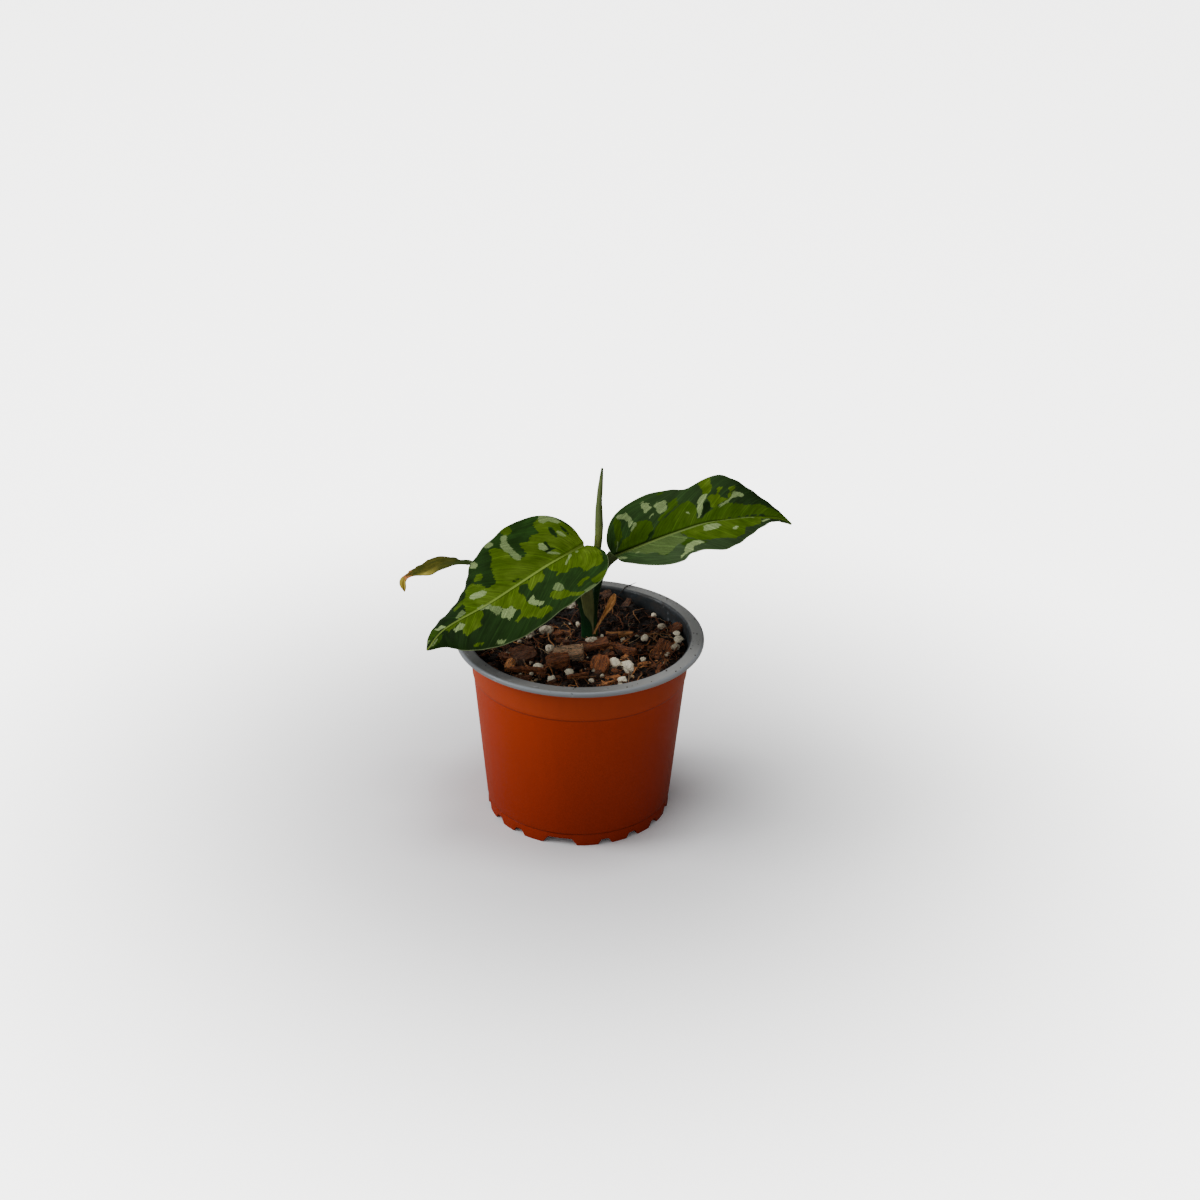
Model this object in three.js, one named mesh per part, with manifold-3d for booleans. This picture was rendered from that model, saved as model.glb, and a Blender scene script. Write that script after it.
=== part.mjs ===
// A potted tricolor aglaonema pictum: a thin thermoformed nursery pot filled with bark mix,
// and a young plant with two open leaves, a small withered one and a rolled new leaf.
// Millimetres, +Z up. Sizes are measured from the pot's axis and the surface it stands on.

import * as THREE from 'three';
import { mergeVertices } from 'three/addons/utils/BufferGeometryUtils.js';
import Module from 'manifold-3d';

const wasm = await Module();
wasm.setup();

// The pot's axis lies a little left of the middle of the plant's footprint, which is the origin.
const POT_AXIS_X = -3.7;

// Clearance between pieces that touch on the real plant.
const GAP = 0.3;

// Edges shorter than this are smoothed out where solids are joined or cut.
const SLIVER = 0.02;

// Pot, radius and height
const RIM_RADIUS = 45;
const RIM_INNER_RADIUS = 41;
const RIM_TOP = 69.4;
const RIM_LIP_DROP = 2.3;
const RIM_ROUNDING = 1.1;
const WALL_THICKNESS = 0.8;
const WALL_TOP_RADIUS = 39.9;
const WALL_FOOT_RADIUS = 33.9;
const BAND_HEIGHT = 54.8;
const BAND_STEP = 0.3;
const FOOT_LINE_HEIGHT = 4.9;
const FOOT_RADIUS = 33.4;
const SKIRT_THICKNESS = 1.2;
const FLOOR_THICKNESS = 0.9;
const POT_SIDES = 80;
const DRAIN_RADIUS = 2.5;
const DRAIN_RING_RADIUS = 21;
const DRAIN_COUNT = 6;

// Notches in the foot: even places all the way round, two of them joined in one wide notch.
// Widths are along the surface, at the foot and at the notch's top.
const NOTCH_PLACES = 19;
const WIDE_NOTCH_AT = -10.6;
const WIDE_NOTCH = { foot: 12.8, top: 8.7, height: 2.8 };
const SMALL_NOTCH = { foot: 5.4, top: 2.6, height: 2.1 };

// Potting mix
const MIX_LEVEL = 62.4;
const MIX_REAR_RISE = 2.3;
const MIX_MOUNDS = [
  { x: 4.3, y: 6.6, height: 1.7, spread: 9 },
  { x: 7, y: 36, height: 3, spread: 8 },
];
const MIX_SEED = 7;
const CHIP_COUNT = 30;
const PERLITE_COUNT = 20;
const FIBRE_COUNT = 10;
const FIBRE_RADIUS = 0.45;
const CLEAR_OF_STEM = 5.2;

// The stem stands in a plain hole in the mix.
const STEM = new THREE.Vector3(4.3, 6.6, 66.1);
const STEM_RADIUS = 2.2;
const STEM_BURIED = 16;

// Blades
const BLADE_THICKNESS = 0.7;
const KEEL_DEPTH = 0.9;
const KEEL_WIDTH = 0.9;
const ARCH = 0.2;
const COLUMNS = [0, 0.05, 0.14, 0.32, 0.52, 0.74, 1];
const SMALL_BLADE_COLUMNS = [0, 0.3, 0.65, 1];

// A leaf: points along its midrib from the stalk to the tip, its roll in degrees at the foot,
// middle and tip, its half widths, how far the lobes at the foot reach back, and how steeply
// each half rises from the midrib, all at even stations. Left and right are as seen along
// the heading.
const FRONT_LEAF = {
  midrib: [[1.4, 0, 103.9], [-12.3, -10, 101], [-31, -21.5, 92.5], [-46.8, -25.6, 83.4], [-53, -28.6, 76.2]],
  roll: [-23.5, -23.5, -25.5],
  half: [0, 9.6, 18.2, 22.7, 20.9, 18.5, 11.9, 4.9, 0],
  asymmetry: 1.013,
  lobe: { left: 0.13, right: 0.075 },
  fold: { left: [40, 35, 22, 14, -7, -9, -10], right: [18, 10, -2, -3, -21, -33, -9] },
  rows: 28,
};

const RIGHT_LEAF = {
  midrib: [[12.7, 6.9, 96.9], [34.2, 8.2, 105.6], [49.2, 6.9, 111.6], [66.2, 5.9, 113.8], [74.5, 4, 112.1]],
  roll: [29.5, 19.5, 8.5],
  half: [0, 6.9, 14.8, 19.3, 16.9, 17.8, 9.9, 3.1, 0],
  asymmetry: 1.008,
  lobe: { left: 0.11, right: -0.01 },
  fold: { left: [45, 35, 13, 13, 19, -5, 10], right: [29, 32, 21, 15, 9, 23, 13] },
  rows: 28,
};

const WITHERED_LEAF = {
  midrib: [[-39.4, 9.6, 92.2], [-47.6, 9.7, 92.2], [-55.4, 10.3, 89.5], [-61.1, 10.4, 87.2],
    [-64.1, 10, 84.5], [-64.1, 9.9, 79.8]],
  roll: [4.5, -5, 3.5],
  half: [0, 3.4, 5.4, 6.8, 5.6, 2.4, 1.3, 1.5, 0],
  asymmetry: 1,
  lobe: { left: 0, right: 0 },
  fold: { left: [-4, 12, 12, 0, -8, 25, 50], right: [11, -14, -12, 3, 14, 30, 50] },
  rows: 24,
};

// The dry bract is a small spatula that leans away from the stem.
const CATAPHYLL = {
  midrib: [[6.9, 5, 65.6], [7.5, 5, 70], [9, 5.1, 75], [11, 5.1, 79.4], [12.7, 5, 82.6]],
  roll: [88, 84, 70],
  half: [0.5, 0.6, 0.6, 0.5, 0.7, 1.2, 1.7, 1.3, 0],
  asymmetry: 1,
  lobe: { left: 0, right: 0 },
  fold: { left: [0, 0, 0, 5, 15, 20, 10], right: [0, 0, 0, 5, 15, 20, 10] },
  rows: 14,
};

// Stalks: points along the axis, and the half widths across and through at even stations.
const FRONT_STALK = {
  path: [[4.3, 5.2, 66.5], [3.4, 3.9, 75], [2.8, 2.6, 84], [2.4, 1.5, 94], [2.6, 0.5, 102.4]],
  across: [0.8, 1.7, 1.4, 1.1, 0.9],
  through: [0.8, 0.9, 1, 1, 0.8],
};

const RIGHT_STALK = {
  path: [[5.7, 6.6, 66.5], [5.8, 6.5, 75], [6.1, 6.4, 84], [8.2, 6.5, 90.5], [11.5, 6.9, 96]],
  across: [0.8, 1.3, 1.3, 1.1, 1],
  through: [0.8, 1, 1.1, 1, 0.9],
};

const LEFT_STALK = {
  path: [[2.9, 6.6, 66.5], [0.7, 7.4, 73], [-2.3, 8, 81], [-13, 9, 89.5], [-26, 9.6, 92.6], [-38.9, 9.6, 92.1]],
  across: [0.8, 1.2, 1.2, 1, 0.8, 0.7],
  through: [0.8, 1, 1.1, 1, 0.8, 0.6],
};

const NEW_LEAF = {
  path: [[4.3, 8, 66.5], [4.2, 9, 79.5], [5.1, 8.2, 92.5], [6.2, 6.8, 105.5], [6.2, 6.5, 118.5], [7.1, 6.5, 131.3]],
  across: [0.8, 0.85, 0.9, 1, 1.1, 1.2, 1.3, 1.3, 0.95, 0.75, 0.15],
  through: [0.8, 0.85, 0.9, 1, 1.1, 1.15, 1.15, 1.05, 0.85, 0.7, 0.15],
};

const COLOURS = {
  pot: 0x8f3413,
  mix: 0x3a2618,
  stem: 0x2c4416,
  stalk: 0x24381a,
  blade: 0x2f5a1c,
  withered: 0x6b6a1e,
  newLeaf: 0x6d8440,
  cataphyll: 0xa8652a,
};

function material(colour, roughness) {
  return new THREE.MeshStandardMaterial({ color: colour, roughness, metalness: 0 });
}

function named(name, geometry, colour, roughness) {
  const mesh = new THREE.Mesh(geometry, material(colour, roughness));
  mesh.name = name;
  return mesh;
}

// Joining and cutting

function toSolid(geometry) {
  const bare = geometry.index ? geometry.toNonIndexed() : geometry.clone();
  bare.deleteAttribute('normal');
  bare.deleteAttribute('uv');
  const merged = mergeVertices(bare, 1e-4);
  return new wasm.Manifold(new wasm.Mesh({
    numProp: 3,
    vertProperties: new Float32Array(merged.attributes.position.array),
    triVerts: new Uint32Array(merged.index.array),
  }));
}

function toGeometry(solid) {
  const mesh = solid.getMesh();
  const geometry = new THREE.BufferGeometry();
  const points = [];
  for (let i = 0; i < mesh.vertProperties.length; i += mesh.numProp) {
    points.push(mesh.vertProperties[i], mesh.vertProperties[i + 1], mesh.vertProperties[i + 2]);
  }
  geometry.setAttribute('position', new THREE.Float32BufferAttribute(points, 3));
  geometry.setIndex([...mesh.triVerts]);
  geometry.computeVertexNormals();
  return geometry;
}

// Slivers left by joining are smoothed out. Only the main body is kept: sealed hollows are
// filled and loose scraps are dropped.
function mainBody(solid) {
  const clean = solid.simplify(SLIVER);
  return clean.decompose().reduce((a, b) => (a.volume() > b.volume() ? a : b));
}

function lathe(profile, sides) {
  const geometry = new THREE.LatheGeometry(profile.map(([r, z]) => new THREE.Vector2(r, z)), sides);
  geometry.rotateX(Math.PI / 2);
  return geometry;
}

// Splines through a few values at even stations

function cubic(a, b, c, d, f) {
  const startSlope = (c - a) / 2;
  const endSlope = (d - b) / 2;
  return b + f * (startSlope + f * (3 * (c - b) - 2 * startSlope - endSlope
    + f * (2 * (b - c) + startSlope + endSlope)));
}

function along(values, u) {
  const last = values.length - 1;
  const s = Math.min(Math.max(u, 0), 1) * last;
  const i = Math.min(Math.floor(s), last - 1);
  const before = i > 0 ? values[i - 1] : 2 * values[0] - values[1];
  const after = i + 2 <= last ? values[i + 2] : 2 * values[last] - values[last - 1];
  return cubic(before, values[i], values[i + 1], after, s - i);
}

// Past the foot of the midrib, the curve runs straight on.
function pointOn(path, u) {
  const at = (v) => new THREE.Vector3(...[0, 1, 2].map((k) => along(path.map((p) => p[k]), v)));
  if (u >= 0) return at(u);
  const foot = at(0);
  const step = 1e-3;
  return foot.addScaledVector(at(step).sub(foot), u / step);
}

function headingOn(path, u) {
  const step = 1e-3;
  const v = Math.min(Math.max(u, step), 1 - step);
  return pointOn(path, v + step).sub(pointOn(path, v - step)).normalize();
}

// Leaf blades

function sideFrame(leaf, u) {
  const heading = headingOn(leaf.midrib, u);
  const level = new THREE.Vector3(0, 0, 1).cross(heading).normalize();
  const upright = heading.clone().cross(level);
  const roll = THREE.MathUtils.degToRad(along(leaf.roll, u));
  return {
    left: level.clone().multiplyScalar(Math.cos(roll)).addScaledVector(upright, Math.sin(roll)),
    up: upright.clone().multiplyScalar(Math.cos(roll)).addScaledVector(level, -Math.sin(roll)),
  };
}

// A point of the blade: row runs from foot to tip, and across from -1 at the right margin
// to 1 at the left one. Rows crowd at the foot, where the lobes reach back past the stalk.
function bladePoint(leaf, row, across) {
  const side = across < 0 ? 'right' : 'left';
  const out = Math.abs(across);
  const reachBack = leaf.lobe[side] * 4 * row * (1 - row) ** 3;
  const u = row * row * (2 - row) - reachBack * out;
  const half = Math.max(along(leaf.half, row), 0) * leaf.asymmetry ** Math.sign(across);
  const fold = THREE.MathUtils.degToRad(along(leaf.fold[side], row));
  const { left, up } = sideFrame(leaf, u);
  return pointOn(leaf.midrib, u)
    .addScaledVector(left, half * across * Math.cos(fold))
    .addScaledVector(up, half * (out * Math.sin(fold) + ARCH * out * (1 - out)));
}

function bladeNormal(leaf, row, across) {
  const step = 1e-3;
  const forward = bladePoint(leaf, row + step, across).sub(bladePoint(leaf, row - step, across));
  const outward = bladePoint(leaf, row, Math.min(across + step, 1))
    .sub(bladePoint(leaf, row, Math.max(across - step, -1)));
  return forward.cross(outward).normalize();
}

// The blade's two faces are split into triangles alike, with a keel under the midrib.
function bladeGeometry(leaf, halfColumns, firstRow, keel) {
  const lastRow = 0.985;
  const columns = [...halfColumns.slice(1).map((c) => -c).reverse(), ...halfColumns];
  const positions = [];
  const faces = [];
  for (const face of [1, -1]) {
    for (let i = 0; i <= leaf.rows; i++) {
      const row = firstRow + (lastRow - firstRow) * i / leaf.rows;
      const half = along(leaf.half, row);
      for (const across of columns) {
        const ridge = face < 0 ? keel * (1 - row) * Math.exp(-((across * half / KEEL_WIDTH) ** 2)) : 0;
        const point = bladePoint(leaf, row, across)
          .addScaledVector(bladeNormal(leaf, row, across), face * (BLADE_THICKNESS / 2 + ridge));
        positions.push(point.x, point.y, point.z);
      }
    }
  }
  const wide = columns.length;
  const lower = (leaf.rows + 1) * wide;
  const quad = (a, b, c, d) => faces.push(a, b, c, a, c, d);
  for (let i = 0; i < leaf.rows; i++) {
    for (let j = 0; j < wide - 1; j++) {
      const a = i * wide + j;
      quad(a, a + wide, a + wide + 1, a + 1);
      const b = lower + a;
      faces.push(b, b + wide + 1, b + wide, b, b + 1, b + wide + 1);
    }
    const right = i * wide;
    const left = right + wide - 1;
    quad(right, lower + right, lower + right + wide, right + wide);
    quad(left, left + wide, lower + left + wide, lower + left);
  }
  for (let j = 0; j < wide - 1; j++) {
    const foot = j;
    const tip = leaf.rows * wide + j;
    quad(foot, foot + 1, lower + foot + 1, lower + foot);
    quad(tip, lower + tip, lower + tip + 1, tip + 1);
  }
  const geometry = new THREE.BufferGeometry();
  geometry.setAttribute('position', new THREE.Float32BufferAttribute(positions, 3));
  geometry.setIndex(faces);
  return geometry;
}

// Stalks and the rolled leaf are lofts of ellipses along a curve, closed at both ends.
function loft(stalk, steps, sides) {
  const positions = [];
  const faces = [];
  const depth = new THREE.Vector3(0, 1, 0);
  for (let i = 0; i <= steps; i++) {
    const u = i / steps;
    const centre = pointOn(stalk.path, u);
    const heading = headingOn(stalk.path, u);
    const across = depth.clone().cross(heading).normalize();
    const through = heading.clone().cross(across);
    for (let j = 0; j < sides; j++) {
      const angle = 2 * Math.PI * j / sides;
      const point = centre.clone()
        .addScaledVector(across, along(stalk.across, u) * Math.cos(angle))
        .addScaledVector(through, along(stalk.through, u) * Math.sin(angle));
      positions.push(point.x, point.y, point.z);
    }
  }
  for (const u of [0, 1]) {
    const centre = pointOn(stalk.path, u);
    positions.push(centre.x, centre.y, centre.z);
  }
  const footCentre = (steps + 1) * sides;
  for (let j = 0; j < sides; j++) {
    const next = (j + 1) % sides;
    for (let i = 0; i < steps; i++) {
      const a = i * sides;
      faces.push(a + j, a + next, a + sides + next, a + j, a + sides + next, a + sides + j);
    }
    const tip = steps * sides;
    faces.push(footCentre, next, j, footCentre + 1, tip + j, tip + next);
  }
  const geometry = new THREE.BufferGeometry();
  geometry.setAttribute('position', new THREE.Float32BufferAttribute(positions, 3));
  geometry.setIndex(faces);
  return geometry;
}

// Pot

function wallRadius(z) {
  const share = (z - FOOT_LINE_HEIGHT) / (RIM_TOP - FOOT_LINE_HEIGHT);
  const taper = WALL_FOOT_RADIUS + (WALL_TOP_RADIUS - WALL_FOOT_RADIUS) * share;
  return z > BAND_HEIGHT ? taper : taper - BAND_STEP;
}

function innerRadius(z) {
  return wallRadius(z) - WALL_THICKNESS;
}

function potBody() {
  const lipBottom = RIM_TOP - RIM_LIP_DROP;
  const flangeUnder = RIM_TOP - WALL_THICKNESS;
  const lipInner = RIM_RADIUS - WALL_THICKNESS;
  const floorTop = FOOT_LINE_HEIGHT + FLOOR_THICKNESS;
  const skirtInner = FOOT_RADIUS - SKIRT_THICKNESS;
  const profile = [
    [0, FOOT_LINE_HEIGHT],
    [skirtInner, FOOT_LINE_HEIGHT],
    [skirtInner, 0],
    [FOOT_RADIUS - 0.2, 0],
    [FOOT_RADIUS, 0.4],
    [FOOT_RADIUS, FOOT_LINE_HEIGHT - 0.3],
    [wallRadius(FOOT_LINE_HEIGHT), FOOT_LINE_HEIGHT],
    [wallRadius(BAND_HEIGHT), BAND_HEIGHT - 0.2],
    [wallRadius(BAND_HEIGHT) + BAND_STEP, BAND_HEIGHT + 0.1],
    [wallRadius(flangeUnder), flangeUnder],
    [lipInner, flangeUnder],
    [lipInner, lipBottom],
    [RIM_RADIUS, lipBottom],
  ];
  for (let k = 0; k <= 3; k++) {
    const angle = k / 3 * Math.PI / 2;
    profile.push([
      RIM_RADIUS - RIM_ROUNDING * (1 - Math.cos(angle)),
      RIM_TOP - RIM_ROUNDING * (1 - Math.sin(angle)),
    ]);
  }
  profile.push(
    [RIM_INNER_RADIUS, RIM_TOP],
    [RIM_INNER_RADIUS - 0.8, RIM_TOP - 0.3],
    [innerRadius(RIM_TOP - 1.6), RIM_TOP - 1.6],
    [innerRadius(BAND_HEIGHT + 0.4), BAND_HEIGHT + 0.4],
    [innerRadius(BAND_HEIGHT), BAND_HEIGHT],
    [innerRadius(floorTop + 2), floorTop + 2],
    [innerRadius(floorTop) - 2, floorTop],
    [0, floorTop],
  );
  return toSolid(lathe(profile, POT_SIDES));
}

function notch({ foot, top, height }, degrees) {
  const depth = 8;
  const outline = new THREE.Shape([
    new THREE.Vector2(-foot / 2, -1),
    new THREE.Vector2(foot / 2, -1),
    new THREE.Vector2(foot / 2, 0),
    new THREE.Vector2(top / 2, height),
    new THREE.Vector2(-top / 2, height),
    new THREE.Vector2(-foot / 2, 0),
  ]);
  const geometry = new THREE.ExtrudeGeometry(outline, { depth, bevelEnabled: false });
  geometry.rotateX(Math.PI / 2);
  geometry.translate(0, -FOOT_RADIUS + depth / 2, 0);
  geometry.rotateZ(THREE.MathUtils.degToRad(degrees));
  return toSolid(geometry);
}

function pot() {
  let body = potBody().subtract(notch(WIDE_NOTCH, WIDE_NOTCH_AT));
  for (let place = 1.5; place < NOTCH_PLACES - 1; place++) {
    body = body.subtract(notch(SMALL_NOTCH, WIDE_NOTCH_AT + 360 / NOTCH_PLACES * place));
  }
  for (let hole = 0; hole <= DRAIN_COUNT; hole++) {
    const geometry = new THREE.CylinderGeometry(DRAIN_RADIUS, DRAIN_RADIUS, 4, 12);
    geometry.rotateX(Math.PI / 2);
    const ring = hole < DRAIN_COUNT ? DRAIN_RING_RADIUS : 0;
    const angle = 2 * Math.PI * hole / DRAIN_COUNT;
    geometry.translate(ring * Math.cos(angle), ring * Math.sin(angle), FOOT_LINE_HEIGHT);
    body = body.subtract(toSolid(geometry));
  }
  return toGeometry(mainBody(body));
}

// Potting mix

// A repeatable draw from 0 to 1
function draws(seed) {
  let state = seed;
  return () => {
    state = (state * 1664525 + 1013904223) % 4294967296;
    return state / 4294967296;
  };
}

const MIX_RADIUS = innerRadius(BAND_HEIGHT + 1) - GAP;

function mixSurface(x, y) {
  const rear = MIX_REAR_RISE * THREE.MathUtils.smoothstep(y, -10, 38);
  const mounds = MIX_MOUNDS.reduce((sum, mound) => sum + mound.height
    * Math.exp(-((x - mound.x) ** 2 + (y - mound.y) ** 2) / (2 * mound.spread ** 2)), 0);
  const coarse = 0.5 * Math.sin(0.31 * x + 1.1) * Math.sin(0.27 * y + 0.4);
  const lumps = 0.35 * Math.sin(0.83 * x - 0.52 * y + 2) + 0.3 * Math.sin(1.05 * y + 0.66 * x);
  return MIX_LEVEL + rear + mounds + coarse + lumps;
}

function mixBody() {
  const rings = 12;
  const sides = 48;
  const floor = FOOT_LINE_HEIGHT + FLOOR_THICKNESS + GAP;
  const outline = [
    [innerRadius(floor) - 2 - GAP, floor],
    [innerRadius(floor + 2) - GAP, floor + 2],
    [MIX_RADIUS - BAND_STEP, BAND_HEIGHT],
    [MIX_RADIUS, BAND_HEIGHT + 1],
  ];
  const positions = [0, 0, floor];
  const ringOf = (radius, heightAt) => {
    for (let j = 0; j < sides; j++) {
      const angle = 2 * Math.PI * j / sides;
      const x = radius * Math.cos(angle);
      const y = radius * Math.sin(angle);
      positions.push(x, y, heightAt(x, y));
    }
  };
  for (const [radius, z] of outline) ringOf(radius, () => z);
  for (let i = rings; i >= 1; i--) ringOf(MIX_RADIUS * i / rings, mixSurface);
  positions.push(0, 0, mixSurface(0, 0));
  const total = outline.length + rings;
  const top = 1 + total * sides;
  const faces = [];
  for (let j = 0; j < sides; j++) {
    const next = (j + 1) % sides;
    faces.push(0, 1 + next, 1 + j);
    for (let i = 0; i < total - 1; i++) {
      const a = 1 + i * sides;
      faces.push(a + j, a + next, a + sides + next, a + j, a + sides + next, a + sides + j);
    }
    const inner = 1 + (total - 1) * sides;
    faces.push(inner + j, inner + next, top);
  }
  const geometry = new THREE.BufferGeometry();
  geometry.setAttribute('position', new THREE.Float32BufferAttribute(positions, 3));
  geometry.setIndex(faces);
  return toSolid(geometry);
}

// A place on the surface, clear of the wall and the stem
function placeOnMix(draw, margin) {
  const reach = MIX_RADIUS - margin;
  for (;;) {
    const x = (2 * draw() - 1) * reach;
    const y = (2 * draw() - 1) * reach;
    if (Math.hypot(x, y) < reach && Math.hypot(x - STEM.x, y - STEM.y) > CLEAR_OF_STEM + margin) {
      return [x, y];
    }
  }
}

function barkChip(draw) {
  const long = 4.5 + 5 * draw();
  const wide = 3 + 3 * draw();
  const thick = 1.4 + 1 * draw();
  const [x, y] = placeOnMix(draw, long / 2);
  const geometry = new THREE.BoxGeometry(long, wide, thick);
  geometry.rotateX(0.5 * (draw() - 0.5));
  geometry.rotateY(0.5 * (draw() - 0.5));
  geometry.rotateZ(Math.PI * draw());
  geometry.translate(x, y, mixSurface(x, y) + 0.25 * thick);
  return toSolid(geometry);
}

function perlite(draw) {
  const radius = 1.1 + 0.8 * draw();
  const [x, y] = placeOnMix(draw, radius);
  const geometry = new THREE.IcosahedronGeometry(radius, 0);
  geometry.scale(1, 0.8 + 0.2 * draw(), 0.8);
  geometry.rotateZ(2 * Math.PI * draw());
  geometry.translate(x, y, mixSurface(x, y) + 0.4 * radius);
  return toSolid(geometry);
}

// A fibre lies in a low bow, with both ends sunk in the mix.
function fibre(draw) {
  const long = 8 + 8 * draw();
  const [x, y] = placeOnMix(draw, long / 2);
  const turn = Math.PI * draw();
  const point = (t, rise) => {
    const px = x + Math.cos(turn) * long * t;
    const py = y + Math.sin(turn) * long * t;
    return [px, py, mixSurface(px, py) + rise];
  };
  const radii = [FIBRE_RADIUS, FIBRE_RADIUS, FIBRE_RADIUS];
  const path = [point(-0.5, -0.8), point(-0.2, 0.3), point(0.2, 0.3), point(0.5, -0.8)];
  return toSolid(loft({ path, across: radii, through: radii }, 5, 4));
}

function pottingMix() {
  const draw = draws(MIX_SEED);
  const pieces = [mixBody()];
  for (let i = 0; i < CHIP_COUNT; i++) pieces.push(barkChip(draw));
  for (let i = 0; i < PERLITE_COUNT; i++) pieces.push(perlite(draw));
  for (let i = 0; i < FIBRE_COUNT; i++) pieces.push(fibre(draw));
  const joined = wasm.Manifold.union(pieces);
  const holeRadius = STEM_RADIUS + GAP;
  const hole = new THREE.CylinderGeometry(holeRadius, holeRadius, STEM_BURIED + 2, 20);
  hole.rotateX(Math.PI / 2);
  hole.translate(STEM.x, STEM.y, STEM.z - STEM_BURIED / 2 + 1 - GAP);
  return toGeometry(mainBody(joined.subtract(toSolid(hole))));
}

// Stem: a short cane with two faint leaf scars
function stem() {
  const foot = STEM.z - STEM_BURIED;
  const profile = [
    [0, foot],
    [STEM_RADIUS - 0.4, foot],
    [STEM_RADIUS - 0.15, foot + 8],
    [STEM_RADIUS, foot + 8.4],
    [STEM_RADIUS - 0.15, foot + 8.8],
    [STEM_RADIUS - 0.15, STEM.z - 1.6],
    [STEM_RADIUS, STEM.z - 1.2],
    [STEM_RADIUS, STEM.z - 0.3],
    [STEM_RADIUS - 0.3, STEM.z],
    [0, STEM.z],
  ];
  const geometry = lathe(profile, 20);
  geometry.translate(STEM.x, STEM.y, 0);
  return toGeometry(toSolid(geometry));
}

const plant = new THREE.Group();
plant.position.x = POT_AXIS_X;
plant.add(
  named('pot', pot(), COLOURS.pot, 0.6),
  named('potting_mix', pottingMix(), COLOURS.mix, 0.95),
  named('stem', stem(), COLOURS.stem, 0.6),
  named('petiole_front', loft(FRONT_STALK, 16, 12), COLOURS.newLeaf, 0.5),
  named('petiole_right', loft(RIGHT_STALK, 16, 12), COLOURS.stalk, 0.5),
  named('petiole_left', loft(LEFT_STALK, 24, 12), COLOURS.stalk, 0.5),
  named('leaf_front', bladeGeometry(FRONT_LEAF, COLUMNS, 0.015, KEEL_DEPTH), COLOURS.blade, 0.4),
  named('leaf_right', bladeGeometry(RIGHT_LEAF, COLUMNS, 0.015, KEEL_DEPTH), COLOURS.blade, 0.4),
  named('leaf_left', bladeGeometry(WITHERED_LEAF, SMALL_BLADE_COLUMNS, 0.03, 0.3), COLOURS.withered, 0.7),
  named('new_leaf', loft(NEW_LEAF, 24, 12), COLOURS.newLeaf, 0.5),
  named('cataphyll', bladeGeometry(CATAPHYLL, SMALL_BLADE_COLUMNS, 0, 0), COLOURS.cataphyll, 0.8),
);

const model = new THREE.Group();
model.add(plant);

export default model;
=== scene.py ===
"""A potted tricolor aglaonema pictum: a young plant in bark mix in a thin plastic nursery pot.

Lengths are millimetres from the pot's axis until add_piece() moves them into the frame.
"""

import math

import bpy
import numpy as np
from mathutils import Matrix, Vector


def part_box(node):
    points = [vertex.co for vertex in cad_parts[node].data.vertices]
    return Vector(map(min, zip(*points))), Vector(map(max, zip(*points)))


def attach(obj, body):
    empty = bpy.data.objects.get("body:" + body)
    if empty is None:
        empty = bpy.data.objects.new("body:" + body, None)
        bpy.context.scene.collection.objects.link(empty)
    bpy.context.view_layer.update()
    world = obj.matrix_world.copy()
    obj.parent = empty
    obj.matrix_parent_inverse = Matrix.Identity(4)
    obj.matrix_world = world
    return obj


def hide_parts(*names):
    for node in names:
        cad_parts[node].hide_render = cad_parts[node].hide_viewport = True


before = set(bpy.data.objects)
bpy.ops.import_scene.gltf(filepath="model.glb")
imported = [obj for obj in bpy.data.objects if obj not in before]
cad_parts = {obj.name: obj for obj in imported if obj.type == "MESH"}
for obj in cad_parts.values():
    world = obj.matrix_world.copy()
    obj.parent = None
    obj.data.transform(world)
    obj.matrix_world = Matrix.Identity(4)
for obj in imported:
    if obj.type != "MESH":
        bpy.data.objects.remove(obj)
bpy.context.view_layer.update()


# The pot: a round nursery pot, thermoformed from one thin two-layer sheet, terracotta outside
# and grey inside. The sheet turns out and down at the top as the rim. The floor has drain
# holes, and the skirt round the foot is cut out in notches.
MM = 0.001
pot_low, pot_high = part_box("pot")
POT_AXIS = np.array([pot_low.x + pot_high.x, pot_low.y + pot_high.y, 0]) / 2
RIM_RADIUS = (pot_high.x - pot_low.x) / 2 / MM
RIM_TOP = pot_high.z / MM
RIM_ROUNDING = 1.1
RIM_BEND = 0.5
LIP_BOTTOM = RIM_TOP - 1.8
SHEET = 0.7
WALL_TOP_RADIUS = RIM_RADIUS - 4.6
WALL_FOOT_RADIUS = 34.4
BAND_HEIGHT = 54.8
BAND_STEP = 0.3
FOOT_LINE = 4.9
FLOOR_TOP = 5.8
SKIRT_RADIUS = 33.8
SKIRT_INNER_RADIUS = 32.6
NOTCH_PLACES = 19
SIDES_PER_NOTCH = 40
WIDE_NOTCH_AT = -10.6
WIDE_NOTCH = (12.8, 8.7, 2.8)
SMALL_NOTCH = (5.4, 2.6, 2.1)
DRAIN_RADIUS = 2.5
DRAIN_RING_RADIUS = 21
DRAIN_COUNT = 6
TERRACOTTA = (163, 50, 11)
# The lower wall's colour: painted shade that darkens the pot towards its foot.
TERRACOTTA_FOOT_SHADE = (136, 36, 7)
TERRACOTTA_BAND = (164, 62, 27)
RIM_GREY = (99, 98, 95)
SOIL_FILM = (38, 34, 30)
WALL_GREY = (42, 50, 55)


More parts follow.
